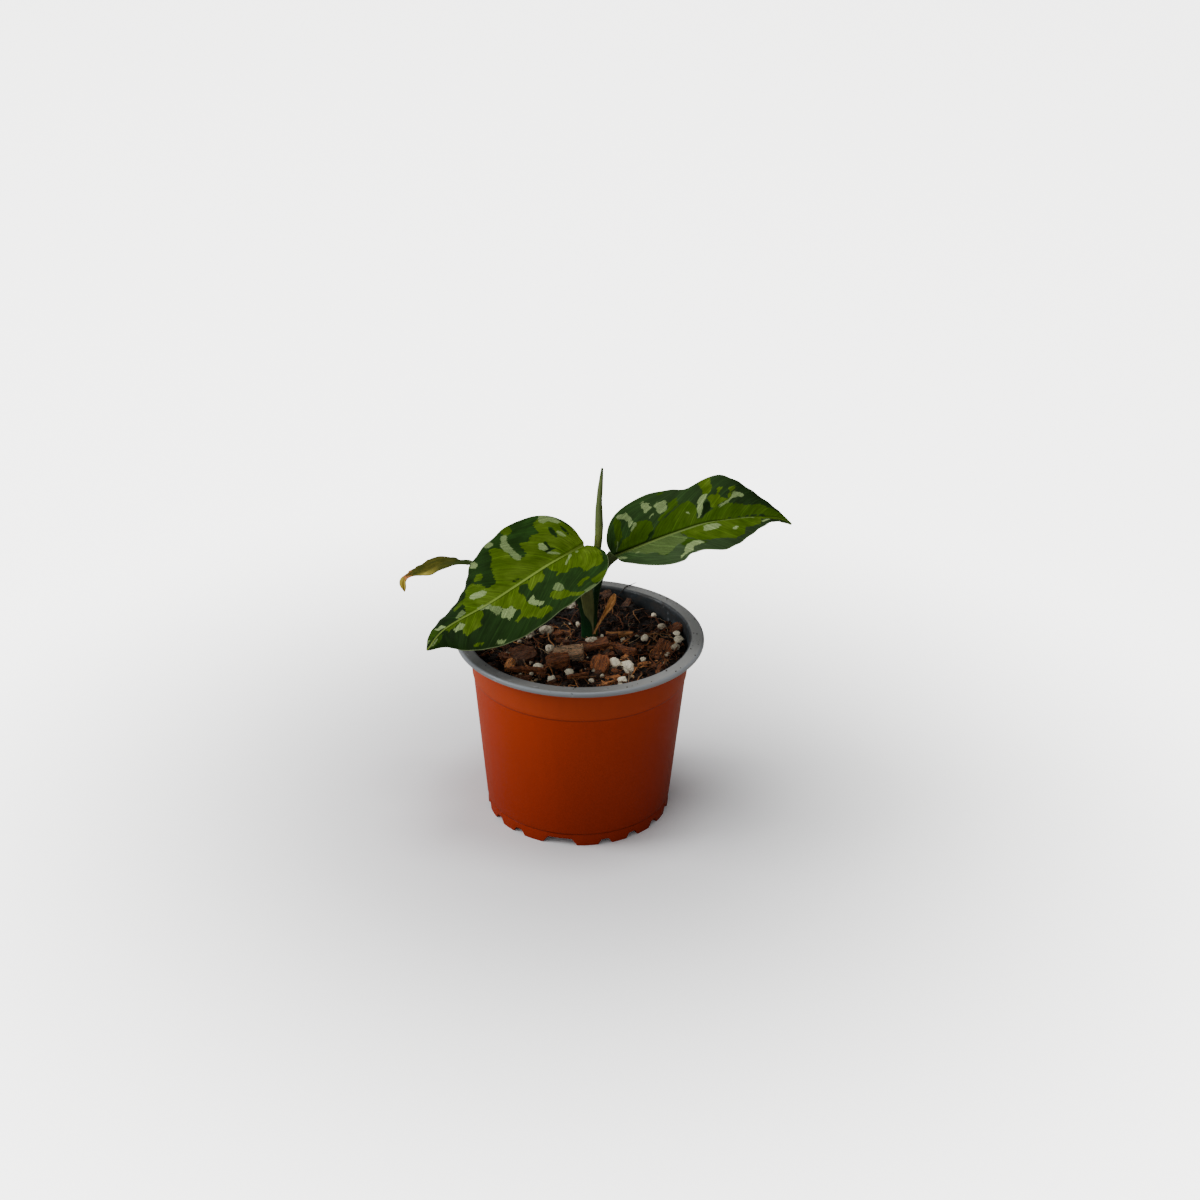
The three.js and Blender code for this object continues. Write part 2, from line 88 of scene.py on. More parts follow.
def add_piece(name, points, faces, slot, node, values, *materials):
    """A piece of the plant or pot, from points in millimetres from the pot's axis."""
    mesh = bpy.data.meshes.new(name)
    mesh.from_pydata(np.asarray(points) * MM + POT_AXIS, [], faces)
    for label, data in values.items():
        kind, field = ("FLOAT", "value") if np.ndim(data) == 1 else ("FLOAT_VECTOR", "vector")
        attribute = mesh.attributes.new(label, kind, "POINT")
        attribute.data.foreach_set(field, np.asarray(data, np.float32).ravel())
    for material in materials:
        mesh.materials.append(material)
    mesh.shade_smooth()
    mesh.validate()
    piece = bpy.data.objects.new(name, mesh)
    bpy.context.scene.collection.objects.link(piece)
    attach(piece, "root")
    if node:
        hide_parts(node)
    return piece


def arc(centre_r, centre_z, radius, start, end, steps=6):
    """Points of a profile on an arc, from one angle in degrees to another."""
    angles = np.radians(np.linspace(start, end, steps))
    return [(centre_r + radius * math.cos(a), centre_z + radius * math.sin(a)) for a in angles]


def wall_radius(z):
    share = (z - FOOT_LINE) / (RIM_TOP - FOOT_LINE)
    taper = WALL_FOOT_RADIUS + (WALL_TOP_RADIUS - WALL_FOOT_RADIUS) * share
    return taper if z > BAND_HEIGHT else taper - BAND_STEP


def inner_radius(z):
    return wall_radius(z) - SHEET


def notch_height(degrees):
    """How far the skirt is cut away, at an angle from the front towards the right."""
    def cut(notch, centre):
        foot, top, height = notch
        off = math.radians(abs((degrees - centre + 180) % 360 - 180)) * SKIRT_RADIUS
        return height * min(max((foot / 2 - off) / (foot / 2 - top / 2), 0), 1)
    places = [WIDE_NOTCH_AT + 360 / NOTCH_PLACES * (1.5 + k) for k in range(NOTCH_PLACES - 2)]
    return max(cut(WIDE_NOTCH, WIDE_NOTCH_AT), *(cut(SMALL_NOTCH, place) for place in places))


def pot_profile():
    """The sheet's outer side from the middle of the floor to the lip, then its inner side."""
    flange = RIM_TOP - SHEET
    lip_inner = RIM_RADIUS - SHEET
    outer = [(0, FOOT_LINE), (14, FOOT_LINE), (24, FOOT_LINE)]
    outer += arc(SKIRT_INNER_RADIUS - 0.6, FOOT_LINE - 0.6, 0.6, 90, 0)
    outer += [(SKIRT_INNER_RADIUS, 2.4), (SKIRT_INNER_RADIUS, 0.4)]
    outer += arc(SKIRT_INNER_RADIUS + 0.3, 0.3, 0.3, 180, 270)
    outer += arc(SKIRT_RADIUS - 0.3, 0.3, 0.3, 270, 360)
    outer += [(SKIRT_RADIUS, 2.4), (SKIRT_RADIUS, FOOT_LINE - 0.7), (SKIRT_RADIUS - 0.12, FOOT_LINE - 0.3)]
    foot_radius = wall_radius(FOOT_LINE)
    outer += [(foot_radius - 0.05, FOOT_LINE + 0.1), (foot_radius + 0.06, FOOT_LINE + 0.5)]
    outer += [(wall_radius(z), z) for z in np.linspace(8, BAND_HEIGHT - 0.5, 12)]
    outer += [(wall_radius(BAND_HEIGHT) + 0.03, BAND_HEIGHT - 0.12)]
    outer += [(wall_radius(BAND_HEIGHT + 0.01) - 0.04, BAND_HEIGHT + 0.12)]
    outer += [(wall_radius(z), z) for z in np.linspace(BAND_HEIGHT + 0.5, flange - 1, 5)]
    outer += arc(wall_radius(flange) + RIM_BEND, flange - RIM_BEND, RIM_BEND, 180, 90)
    outer += arc(lip_inner - 0.5, flange - 0.5, 0.5, 90, 0)
    outer += [(lip_inner, LIP_BOTTOM + 0.25)]
    inner = arc(RIM_RADIUS - SHEET / 2, LIP_BOTTOM + SHEET / 2, SHEET / 2, 180, 360, 8)
    inner += arc(RIM_RADIUS - RIM_ROUNDING, RIM_TOP - RIM_ROUNDING, RIM_ROUNDING, 0, 90, 10)
    inner += [(RIM_RADIUS - 2.2, RIM_TOP)]
    inner += arc(wall_radius(flange) + RIM_BEND, flange - RIM_BEND, RIM_BEND + SHEET, 90, 180, 8)
    inner += [(inner_radius(z), z) for z in np.linspace(RIM_TOP - 2.8, BAND_HEIGHT + 0.4, 8)]
    inner += [(inner_radius(z), z) for z in np.linspace(BAND_HEIGHT - 0.2, FLOOR_TOP + 2, 8)]
    inner += arc(inner_radius(FLOOR_TOP) - 1.6, FLOOR_TOP + 1.6, 1.6, 0, -90)
    inner += [(24, FLOOR_TOP), (14, FLOOR_TOP), (0, FLOOR_TOP)]
    return outer, inner


def ring_faces(rings, sides):
    """The quads between rings of points that follow each other."""
    start = np.arange(sides)
    following = (start + 1) % sides
    quads = np.stack([start, following, following + sides, start + sides], -1)
    return np.concatenate([quads + ring * sides for ring in range(rings - 1)])


def closed_faces(rings, sides):
    """Those quads, and a fan at each end round the two points that come after the rings."""
    tip, last = rings * sides, (rings - 1) * sides
    pairs = [(side, (side + 1) % sides) for side in range(sides)]
    fans = [[tip, b, a] for a, b in pairs] + [[tip + 1, last + a, last + b] for a, b in pairs]
    return ring_faces(rings, sides).tolist() + fans


def turned(profile, sides, lift=None):
    """A closed body turned round the axis. The first and last points lie on the axis."""
    angles = np.arange(sides) * 2 * math.pi / sides
    circle = np.stack([np.sin(angles), -np.cos(angles)], -1)
    rings = np.array(profile[1:-1])
    points = np.empty((len(rings), sides, 3))
    points[..., :2] = rings[:, None, :1] * circle
    points[..., 2] = rings[:, 1:2]
    if lift is not None:
        points[..., 2] = lift(points[..., 2], rings[:, :1], np.degrees(angles))
    points = [*points.reshape(-1, 3), [0, 0, profile[0][1]], [0, 0, profile[-1][1]]]
    return np.array(points), closed_faces(len(rings), sides)


def build_pot():
    outer, inner = pot_profile()
    sides = NOTCH_PLACES * SIDES_PER_NOTCH

    def lift(z, radius, degrees):
        cut = np.array([notch_height(d) for d in degrees])
        skirt = (z < FOOT_LINE - 0.65) & (radius > SKIRT_INNER_RADIUS - 0.1)
        return np.where(skirt, cut + z * (1 - cut / FOOT_LINE), z)

    points, faces = turned(outer + inner, sides, lift)
    skins = terracotta_plastic(), grey_plastic()
    pot = add_piece("pot_shell", points, faces, "pot_plastic", "pot", {}, *skins)
    rings_outside = len(outer) - 1
    materials = np.ones(len(faces), np.int32)
    materials[: rings_outside * sides] = 0
    materials[-2 * sides : -sides] = 0
    pot.data.polygons.foreach_set("material_index", materials)
    return pot


def drill_floor(pot):
    """The drain holes: one in the middle and a ring of six."""
    low, high = FOOT_LINE - 2, FLOOR_TOP + 1
    bit, bit_faces = turned([(0, low), (DRAIN_RADIUS, low), (DRAIN_RADIUS, high), (0, high)], 32)
    points, faces = [], []
    for hole in range(DRAIN_COUNT + 1):
        ring = DRAIN_RING_RADIUS if hole < DRAIN_COUNT else 0
        angle = 2 * math.pi * hole / DRAIN_COUNT
        faces += [[i + len(points) for i in face] for face in bit_faces]
        points += (bit + [ring * math.cos(angle), ring * math.sin(angle), 0]).tolist()
    mesh = bpy.data.meshes.new("drain_drill")
    mesh.from_pydata(np.array(points) * MM + POT_AXIS, [], faces)
    drill = bpy.data.objects.new("drain_drill", mesh)
    bpy.context.scene.collection.objects.link(drill)
    cut = pot.modifiers.new("drain_holes", "BOOLEAN")
    cut.object, cut.operation, cut.solver = drill, "DIFFERENCE", "MANIFOLD"
    bpy.context.view_layer.objects.active = pot
    bpy.ops.object.modifier_apply(modifier=cut.name)
    bpy.data.objects.remove(drill)


def colour(red, green, blue):
    """A screen colour, 0 to 255 each, as the linear colour that a shader takes."""
    return (*(((c / 255 + 0.055) / 1.055) ** 2.4 for c in (red, green, blue)), 1)


def add_node(kind, inputs, tree=None, **settings):
    """The outputs of a new shader node. It stands in the tree of the outputs that it takes in."""
    taken = {key: value for key, value in inputs.items() if isinstance(value, bpy.types.NodeSocket)}
    if tree is None:
        tree = next(iter(taken.values())).id_data
    made = tree.nodes.new("ShaderNode" + kind)
    for name, value in settings.items():
        setattr(made, name, value)
    for key, value in inputs.items():
        if key in taken:
            tree.links.new(value, made.inputs[key])
        else:
            made.inputs[key].default_value = value
    return made.outputs


def feed(ends, **values):
    """Links outputs to the inputs that have their names."""
    for label, value in values.items():
        value.id_data.links.new(value, ends[label.replace("_", " ")])


def carried(tree, label, output="Fac"):
    """What each point of the mesh carries under a name."""
    return add_node("Attribute", {}, tree, attribute_name=label)[output]


def object_place(tree):
    return add_node("TexCoord", {}, tree)["Object"]


def axes_of(vector):
    return add_node("SeparateXYZ", {0: vector})


def calc(operation, *values):
    return add_node("Math", dict(enumerate(values)), operation=operation)[0]


def times(first, second):
    return calc("MULTIPLY", first, second)


def plus(first, second):
    return calc("ADD", first, second)


def minus(first, second):
    return calc("SUBTRACT", first, second)


def mixed(factor, first, second):
    """One colour turned into another by a factor. A plain colour is three screen numbers, 0 to 255."""
    first, second = (colour(*shade) if isinstance(shade, tuple) else shade for shade in (first, second))
    return add_node("Mix", {0: factor, 6: first, 7: second}, data_type="RGBA")[2]


def layered(base, *coats):
    """A colour with coats of other colours over it, each by its own factor."""
    for factor, shade in coats:
        base = mixed(factor, base, shade)
    return base


def between(value, low, high, to_low=0, to_high=1):
    """A smooth step of a value from low to high."""
    inputs = {"Value": value, "From Min": low, "From Max": high, "To Min": to_low, "To Max": to_high}
    return add_node("MapRange", inputs, interpolation_type="SMOOTHSTEP")[0]


def cloud(vector, scale, detail=2, roughness=0.5):
    inputs = {"Vector": vector, "Scale": scale, "Detail": detail, "Roughness": roughness}
    return add_node("TexNoise", inputs)["Fac"]


def stretched(vector, scale):
    return add_node("Mapping", {"Vector": vector, "Scale": scale})[0]


def toned(base, value):
    """A colour made lighter or darker by a value round 1."""
    return add_node("HueSaturation", {"Color": base, "Value": value})[0]


def bumped(height, strength, distance):
    return add_node("Bump", {"Height": height, "Strength": strength, "Distance": distance})[0]


def effect_group(name, inputs, outputs):
    """An empty shader group with its sockets, and the two nodes at its ends."""
    group = bpy.data.node_groups.new(name, "ShaderNodeTree")
    for label, kind in inputs.items():
        group.interface.new_socket(label, in_out="INPUT", socket_type="NodeSocket" + kind)
    for label in outputs:
        group.interface.new_socket(label, in_out="OUTPUT", socket_type="NodeSocketFloat")
    return group, group.nodes.new("NodeGroupInput").outputs, group.nodes.new("NodeGroupOutput").inputs


def surface_grain():
    """Broad blotches as a tone round 1, and a fine tooth as a height."""
    sockets = {"Vector": "Vector", "Blotch Scale": "Float", "Tooth Scale": "Float", "Contrast": "Float"}
    group, given, result = effect_group("surface_grain", sockets, ["Tone", "Height"])
    blotch = cloud(given["Vector"], given["Blotch Scale"], 3)
    tooth = cloud(given["Vector"], given["Tooth Scale"])
    swing = times(minus(blotch, 0.5), given["Contrast"])
    fine = times(minus(tooth, 0.5), times(given["Contrast"], 0.4))
    feed(result, Tone=plus(1, plus(swing, fine)), Height=tooth)
    return group


SURFACE_GRAIN = surface_grain()


def grain_on(place, blotch_scale, tooth_scale, contrast):
    inputs = {"Vector": place, "Blotch Scale": blotch_scale, "Tooth Scale": tooth_scale, "Contrast": contrast}
    return add_node("Group", inputs, node_tree=SURFACE_GRAIN)


def new_material(name, roughness, specular=0.5):
    """A material, its tree and its shader's inputs, with the constants set on the inputs themselves."""
    made = bpy.data.materials.new(name)
    made.use_nodes = True
    shader = made.node_tree.nodes["Principled BSDF"].inputs
    shader["Roughness"].default_value = roughness
    shader["Specular IOR Level"].default_value = specular
    return made, made.node_tree, shader


def terracotta_plastic():
    """The outer layer: drawn lines down the wall, a paler band that is partly painted sheen, scuffs, and
    painted shade towards the foot and in thin lines along the band step and the foot line.
    """
    made, tree, shader = new_material("terracotta_plastic", 0.5, 0.1)
    place = object_place(tree)
    grain = grain_on(place, 40, 2600, 0.1)
    draw_lines = cloud(stretched(place, (1, 1, 0.06)), 420)
    height = axes_of(place)["Z"]
    # The upper band is paler and greyer: partly its own tone, partly painted sheen.
    band = between(height, (BAND_HEIGHT - 1) * MM, (BAND_HEIGHT + 2) * MM, 0, 0.7)
    base = mixed(band, mixed(between(height, 0, 0.07), TERRACOTTA_FOOT_SHADE, TERRACOTTA), TERRACOTTA_BAND)
    # Thin darker lines along the band step and the foot line: painted shade in the step and the groove.
    shade_line_distances = [calc("ABSOLUTE", minus(height, z * MM)) for z in (BAND_HEIGHT, FOOT_LINE)]
    seam = between(calc("MINIMUM", *shade_line_distances), 0.0005, 0.0002, 1, 0.68)
    tone = plus(grain["Tone"], times(minus(draw_lines, 0.5), 0.1))
    scuff = between(cloud(stretched(place, (1, 1, 0.25)), 900, 4, 0.7), 0.7, 0.8)
    base = mixed(times(scuff, 0.16), toned(base, times(tone, seam)), (205, 150, 120))
    roughness = plus(0.4, times(draw_lines, 0.14))
    feed(shader, Base_Color=base, Roughness=roughness, Normal=bumped(grain["Height"], 0.15, 0.0003))
    return made


def grey_plastic():
    """The inner layer: scuffed along the rim, with a film of soil on the wall above the mix that is partly
    painted shade. The rim's right is lightened with painted light, the lip's outer edge carries a painted
    highlight, and the wall is darkened towards the rear with painted shade.
    """
    made, tree, shader = new_material("grey_plastic", 0.4, 0.35)
    place = object_place(tree)
    grain = grain_on(place, 90, 2200, 0.22)
    centred = add_node("VectorMath", {0: place, 1: tuple(POT_AXIS)}, operation="SUBTRACT")[0]
    axes = axes_of(centred)
    from_axis = add_node("VectorMath", {0: stretched(centred, (1, 1, 0))}, operation="LENGTH")[1]
    wall = between(from_axis, (WALL_TOP_RADIUS + 0.3) * MM, (WALL_TOP_RADIUS - 0.3) * MM)
    # The lip's outer edge is painted a lighter, bluish grey: a painted highlight.
    edge = between(from_axis, (RIM_RADIUS - 1) * MM, (RIM_RADIUS - 0.3) * MM)
    angle = calc("ARCTAN2", axes["X"], axes["Y"])
    along_rim = add_node("CombineXYZ", {"X": times(angle, 9), "Y": times(from_axis, 1400)})[0]
    scrape = between(cloud(along_rim, 0.7, 4, 0.7), 0.6, 0.7)
    # The film darkens the inner wall in smudges: partly soil, partly painted shade.
    smudge = cloud(stretched(place, (1, 1, 1.6)), 170, 5, 0.65)
    film = times(wall, between(smudge, 0.42, 0.62, 0.25, 0.85))
    specks = between(cloud(place, 700, 2, 0.6), 0.68, 0.72)
    streaks = between(cloud(place, 1500, 3, 0.8), 0.62, 0.8)
    smear = between(cloud(stretched(place, (1, 1, 2.4)), 120, 4, 0.6), 0.5, 0.66, 0, 0.35)
    # The inner wall is painted darker towards the rear: painted shade.
    wall_skin = toned(mixed(smear, WALL_GREY, (92, 106, 118)), between(axes["Y"], 0, 0.03, 1, 0.55))
    # The right of the rim is painted lighter, less so towards the rear: painted light.
    painted_light_right = times(between(axes["X"], 0, 0.035, 0, 0.75), between(wall, 0, 1, 1, 0))
    painted_light_right = times(painted_light_right, between(axes["Y"], 0, 0.03, 1, 0.3))
    base = layered(
        toned(mixed(wall, RIM_GREY, wall_skin), grain["Tone"]),
        (painted_light_right, (158, 157, 153)),
        (times(streaks, 0.2), (196, 200, 200)),
        (times(edge, 0.4), (142, 152, 162)),
        (times(scrape, 0.35), (186, 190, 192)),
        (times(specks, 0.5), SOIL_FILM),
        (film, SOIL_FILM),
    )
    roughness = plus(0.34, times(film, 0.4))
    feed(shader, Base_Color=base, Roughness=roughness, Normal=bumped(grain["Height"], 0.2, 0.0003))
    return made


pot = build_pot()
drill_floor(pot)
pot.data.set_sharp_from_angle(angle=math.radians(50))


# The potting mix: damp humus that fills the pot, with bark chips, white perlite, roots and
# straw lying in it. It is poured in, so its surface is loose and open, with dark gaps.
MIX_LEVEL = 62.4
MIX_REAR_RISE = 2.3
MIX_MOUNDS = ((4.3, 6.6, 1.7, 9), (7, 36, 3, 8), (4.2, 5.4, 1.5, 3.2), (38, 2, 2.2, 10), (4, -38, 1.2, 14))
MIX_RADIUS = inner_radius(BAND_HEIGHT + 1) - 0.15
MIX_SINK = 1.1
STEM_AT = (4.3, 6.6)
# The root that climbs over the rim at the rear.
REAR_ROOT = (
    (11.4, 33, 64), (13.1, 34, 66.2), (14.8, 35.8, 68),
    (16.6, 37.4, 69.8), (18.6, 38.6, 70.2), (20.8, 39.8, 70.6),
)
# How many of each fill the places between those that show.
MORE_CHIPS = 150
MORE_GRAINS = 30
STRAND_COUNT = 340
CRUMB_COUNT = 2400
# The tints of the crumbs, each with its share, and the colours that the tints stand for.
CRUMB_TINTS = {0.05: 0.2, 0.12: 0.2, 0.2: 0.18, 0.32: 0.14, 0.45: 0.1, 0.58: 0.1, 0.75: 0.05, 0.9: 0.03}
BARK_SHADES = (
    (0, (11, 8, 6)), (0.2, (46, 30, 19)), (0.4, (96, 56, 32)), (0.6, (124, 70, 38)),
    (0.72, (176, 118, 68)), (0.85, (132, 112, 90)), (1, (214, 182, 134)),
)
# Chips that show: place, length, width, thickness, turn and pitch in degrees, and tint.
CHIPS_SEEN = (
    (30, -3, 9, 6.4, 1.6, 62, 24, 0.46), (-7.7, -11.5, 8.4, 7, 3, 10, 6, 0.5),
    (7.6, -13.3, 8, 6.5, 3.2, 75, 22, 0.6), (-4, -5.1, 11, 9, 3, 0, 8, 0.82),
    (4.4, -0.7, 12.5, 5, 1.6, 15, 8, 0.42), (14.3, 9, 10, 1.7, 1.3, -5, 4, 0.72),
    (34.8, 13, 7, 6, 1.5, 20, 28, 0.44), (9, 34, 5.5, 5, 2, 5, 20, 0.3),
    (-20.8, -4.8, 10, 9, 2, 30, 6, 0.32), (-24.6, -14.7, 5.5, 3.4, 3, 80, 10, 0.7),
    (-18.1, -18, 13, 2.2, 1.5, -4, 2, 0.55), (-0.3, -22.5, 8, 1.7, 1.3, 22, 2, 0.6),
    (-19.3, -23.3, 5, 3, 1.5, -10, 8, 0.45), (15.5, -1.3, 12, 3.2, 1.8, -40, 5, 0.5),
    (12.3, -21.4, 5, 3, 1.8, 25, 8, 0.62), (17, 30, 6, 3, 1.6, 60, 25, 0.3),
)
# Perlite grains that show: place, radius, how much higher or flatter than round, and dirt.
PERLITE_SEEN = (
    (12.4, -11.7, 2.2, 1, 0.05), (17, -12.6, 2.35, 1, 0), (17.8, -16.6, 1.9, 1.5, 0.05),
    (4.2, 2, 1.9, 0.8, 0.75), (23.7, 4.9, 1.5, 1, 0.35), (23, -7.9, 1.2, 0.9, 0.5),
    (-3.4, -19.3, 1.6, 0.9, 0.05), (-9.7, -24.8, 1.6, 1.2, 0.05), (-10.8, -1.3, 1.85, 1, 0.6),
    (35.4, 8, 1.4, 0.5, 0.2), (36, 3.8, 1.85, 0.6, 0.3), (34.6, -2.4, 1.5, 1, 0.8),
    (15.3, -24.4, 1.7, 0.6, 0.1), (-14.4, -14.5, 1.9, 0.5, 0.15), (-4.3, 29, 2.2, 0.9, 0.55),
    (-18.6, 8.2, 1.9, 1, 0.8), (-12.6, 12.1, 2.4, 0.9, 0.85), (29.9, 12.7, 1.5, 0.8, 0.9),
    (7.9, 6.1, 0.9, 0.8, 0.4), (15.7, 5.1, 1.1, 0.8, 0.8), (27.3, 24.8, 1.1, 0.8, 0.6),
    (14.6, -27.2, 0.9, 0.7, 0.3), (8.2, -21.7, 0.8, 1, 0.7),
)


def unit(vectors):
    return vectors / np.linalg.norm(vectors, axis=-1, keepdims=True)


def smooth_step(value, low, high):
    share = np.clip((value - low) / (high - low), 0, 1)
    return share * share * (3 - 2 * share)


def mix_height(x, y):
    rear = MIX_REAR_RISE * smooth_step(y, -10, 38)
    mounds = sum(h * np.exp(-((x - mx) ** 2 + (y - my) ** 2) / (2 * s * s)) for mx, my, h, s in MIX_MOUNDS)
    coarse = 0.5 * np.sin(0.31 * x + 1.1) * np.sin(0.27 * y + 0.4)
    lumps = 0.35 * np.sin(0.83 * x - 0.52 * y + 2) + 0.3 * np.sin(1.05 * y + 0.66 * x)
    return MIX_LEVEL + rear + mounds + coarse + lumps


def ripple(points, size, seed, waves=9):
    """Smooth noise of about that size in millimetres, from -1 to 1: a sum of seeded waves."""
    draw = np.random.default_rng(seed)
    total = np.zeros(len(points))
    for _ in range(waves):
        direction = draw.normal(size=points.shape[1])
        direction *= draw.uniform(0.6, 1.5) / np.linalg.norm(direction)
        total += np.sin(points @ direction * (2 * math.pi / size) + draw.uniform(0, 2 * math.pi))
    return total / math.sqrt(waves) / 1.2


class Heap:
    """Many small bodies gathered in one mesh and held inside the wall, each with its tint and grain."""

    def __init__(self):
        self.points, self.faces, self.tints, self.grains, self.count = [], [], [], [], 0

    def add(self, points, faces, tint, grain):
        self.faces += (np.asarray(faces) + self.count).tolist()
        self.points.append(points)
        self.tints.append(np.full(len(points), tint))
        self.grains.append(grain)
        self.count += len(points)

    def piece(self, name, material, sharp=180):
        points = np.concatenate(self.points)
        levels = (BAND_HEIGHT + 0.1, RIM_TOP - 0.6)
        room = np.interp(points[:, 2], levels, [inner_radius(z) - 0.1 for z in levels])
        held = np.minimum(1, room / np.hypot(points[:, 0], points[:, 1]))
        points[:, :2] *= np.where(points[:, 2] < levels[1], held, 1)[:, None]
        values = {"tint": np.concatenate(self.tints), "grain": np.concatenate(self.grains)}
        made = add_piece(name, points, self.faces, "bark_mix", None, values, material)
        if sharp < 180:
            made.data.set_sharp_from_angle(angle=math.radians(sharp))


def lattice_cube(cuts):
    """The surface of a cube from -1 to 1, cut into a lattice of quads."""
    index, points, faces = {}, [], []
    steps = np.linspace(-1, 1, cuts + 1)

    def corner(p):
        key = tuple(np.round(p, 5))
        if key not in index:
            index[key] = len(points)
            points.append(p)
        return index[key]

    for axis in range(3):
        for side in (-1, 1):
            for i in range(cuts):
                for j in range(cuts):
                    quad = []
                    for a, b in ((i, j), (i + 1, j), (i + 1, j + 1), (i, j + 1)):
                        p = np.zeros(3)
                        p[axis], p[(axis + 1) % 3], p[(axis + 2) % 3] = side, steps[a], steps[b]
                        quad.append(corner(p))
                    faces.append(quad if side > 0 else quad[::-1])
    return np.array(points), faces


def ball(level):
    """A unit icosphere as points and triangles."""
    t = (1 + math.sqrt(5)) / 2
    points = [(-1, t, 0), (1, t, 0), (-1, -t, 0), (1, -t, 0), (0, -1, t), (0, 1, t),
              (0, -1, -t), (0, 1, -t), (t, 0, -1), (t, 0, 1), (-t, 0, -1), (-t, 0, 1)]
    faces = [(0, 11, 5), (0, 5, 1), (0, 1, 7), (0, 7, 10), (0, 10, 11), (1, 5, 9), (5, 11, 4),
             (11, 10, 2), (10, 7, 6), (7, 1, 8), (3, 9, 4), (3, 4, 2), (3, 2, 6), (3, 6, 8),
             (3, 8, 9), (4, 9, 5), (2, 4, 11), (6, 2, 10), (8, 6, 7), (9, 8, 1)]
    points = [np.array(p) / math.hypot(1, t) for p in points]
    for _ in range(level):
        middles, finer = {}, []

        def middle(a, b):
            key = (min(a, b), max(a, b))
            if key not in middles:
                middles[key] = len(points)
                halfway = points[a] + points[b]
                points.append(halfway / np.linalg.norm(halfway))
            return middles[key]

        for a, b, c in faces:
            ab, bc, ca = middle(a, b), middle(b, c), middle(c, a)
            finer += [(a, ab, ca), (b, bc, ab), (c, ca, bc), (ab, bc, ca)]
        faces = finer
    return np.array(points), faces


def turn_matrix(degrees, pitch=0, lean=0):
    axes = ((degrees, "Z"), (pitch, "Y"), (lean, "X"))
    turns = [Matrix.Rotation(math.radians(angle), 3, axis) for angle, axis in axes]
    return np.array(turns[0] @ turns[1] @ turns[2])


def humus_bed():
    """The body of the mix: a fine crumbly surface, over the plain sides and floor of the fill."""
    rings, sides = 110, 300
    floor = FLOOR_TOP + 0.3
    profile = [(0, floor), (inner_radius(floor) - 2.3, floor), (inner_radius(floor + 2) - 0.3, floor + 2)]
    profile += [(inner_radius(BAND_HEIGHT) - 0.3, BAND_HEIGHT), (MIX_RADIUS, BAND_HEIGHT + 1)]
    profile += [(radius, 0) for radius in MIX_RADIUS * np.linspace(1, 0.004, rings)] + [(0, MIX_LEVEL + 1)]
    points, faces = turned(profile, sides)
    top = slice(4 * sides, (4 + rings) * sides)
    flat = points[top, :2]
    crumbs = 0.75 * ripple(flat, 7, 1) + 0.55 * ripple(flat, 3, 2) + 0.4 * ripple(flat, 1.5, 3)
    settle = -0.5 * smooth_step(np.hypot(*flat.T), MIX_RADIUS - 4, MIX_RADIUS)
    points[top, 2] = mix_height(*flat.T) - MIX_SINK + crumbs + settle
    points[-1, 2] = points[(3 + rings) * sides, 2]
    values = {"tint": np.full(len(points), 0.06), "grain": points / 3}
    add_piece("humus_bed", points, faces, "bark_mix", "potting_mix", values, BARK)


def add_chip(heap, lattice, draw, x, y, long, wide, thick, turn, pitch, tint, lift, broken):
    """A broken piece of bark: an uneven many-sided plate, split along its grain."""
    points, faces = lattice
    points = points.copy()
    planes = np.sort(draw.uniform(0, 2 * math.pi, 6))
    reach = draw.uniform(0.75, 1, 6) + 0.3 * (1 - broken)
    angle = np.arctan2(points[:, 1], points[:, 0])
    facing = np.cos(angle[:, None] - planes)
    limit = np.where(facing > 0.15, reach / np.maximum(facing, 0.15), 9).min(1)
    share = np.abs(points[:, :2]).max(1)
    direction = np.stack([np.cos(angle), np.sin(angle)], -1)
    box_limit = 1 / np.maximum(np.abs(direction).max(1), 1e-6)
    points[:, :2] = direction * (share * np.minimum(limit, box_limit))[:, None]
    points *= np.array([long, wide, thick]) / 2
    shift = draw.uniform(-50, 50, 3)
    split = ripple((points + shift) * [0.35, 1.6, 1], 2.2, 11, 6)
    rough = ripple(points + shift, 1.6, 12, 6)
    flakes = np.round(1.2 * ripple((points + shift) * [0.5, 1, 0], 4.5, 15, 6))
    points[:, 2] += (0.18 * split + 0.12 * rough + 0.2 * flakes) * min(thick, 2) * 0.5
    points[:, 1] += (0.06 + 0.2 * broken) * ripple((points + shift) * [1, 1, 2], 1.6, 13, 6)
    points[:, 0] += (0.12 + 0.25 * broken) * ripple((points + shift) * [1, 1, 2], 1.2, 14, 6)
    grain = points * [0.3, 1, 1] + shift
    placed = points @ turn_matrix(turn, -pitch, draw.uniform(-8, 8)).T
    placed += [x, y, mix_height(x, y) + lift]
    heap.add(placed, faces, tint, grain)


def add_grain(heap, sphere, draw, x, y, radius, rise, dirt):
    """A puffed grain of perlite, lumpy and pitted."""
    points, faces = sphere
    shift = draw.uniform(-50, 50, 3)
    size = 1 + 0.18 * ripple(points * 1.5 + shift, 2.4, 21, 6) + 0.08 * ripple(points * 3 + shift, 1.8, 22, 6)
    shape = points * size[:, None] * radius * [draw.uniform(0.92, 1.1), draw.uniform(0.8, 1), 0.85 * rise]
    placed = shape @ turn_matrix(draw.uniform(0, 360)).T
    placed += [x, y, mix_height(x, y) + 0.35 * radius]
    heap.add(placed, faces, dirt, shape + shift)


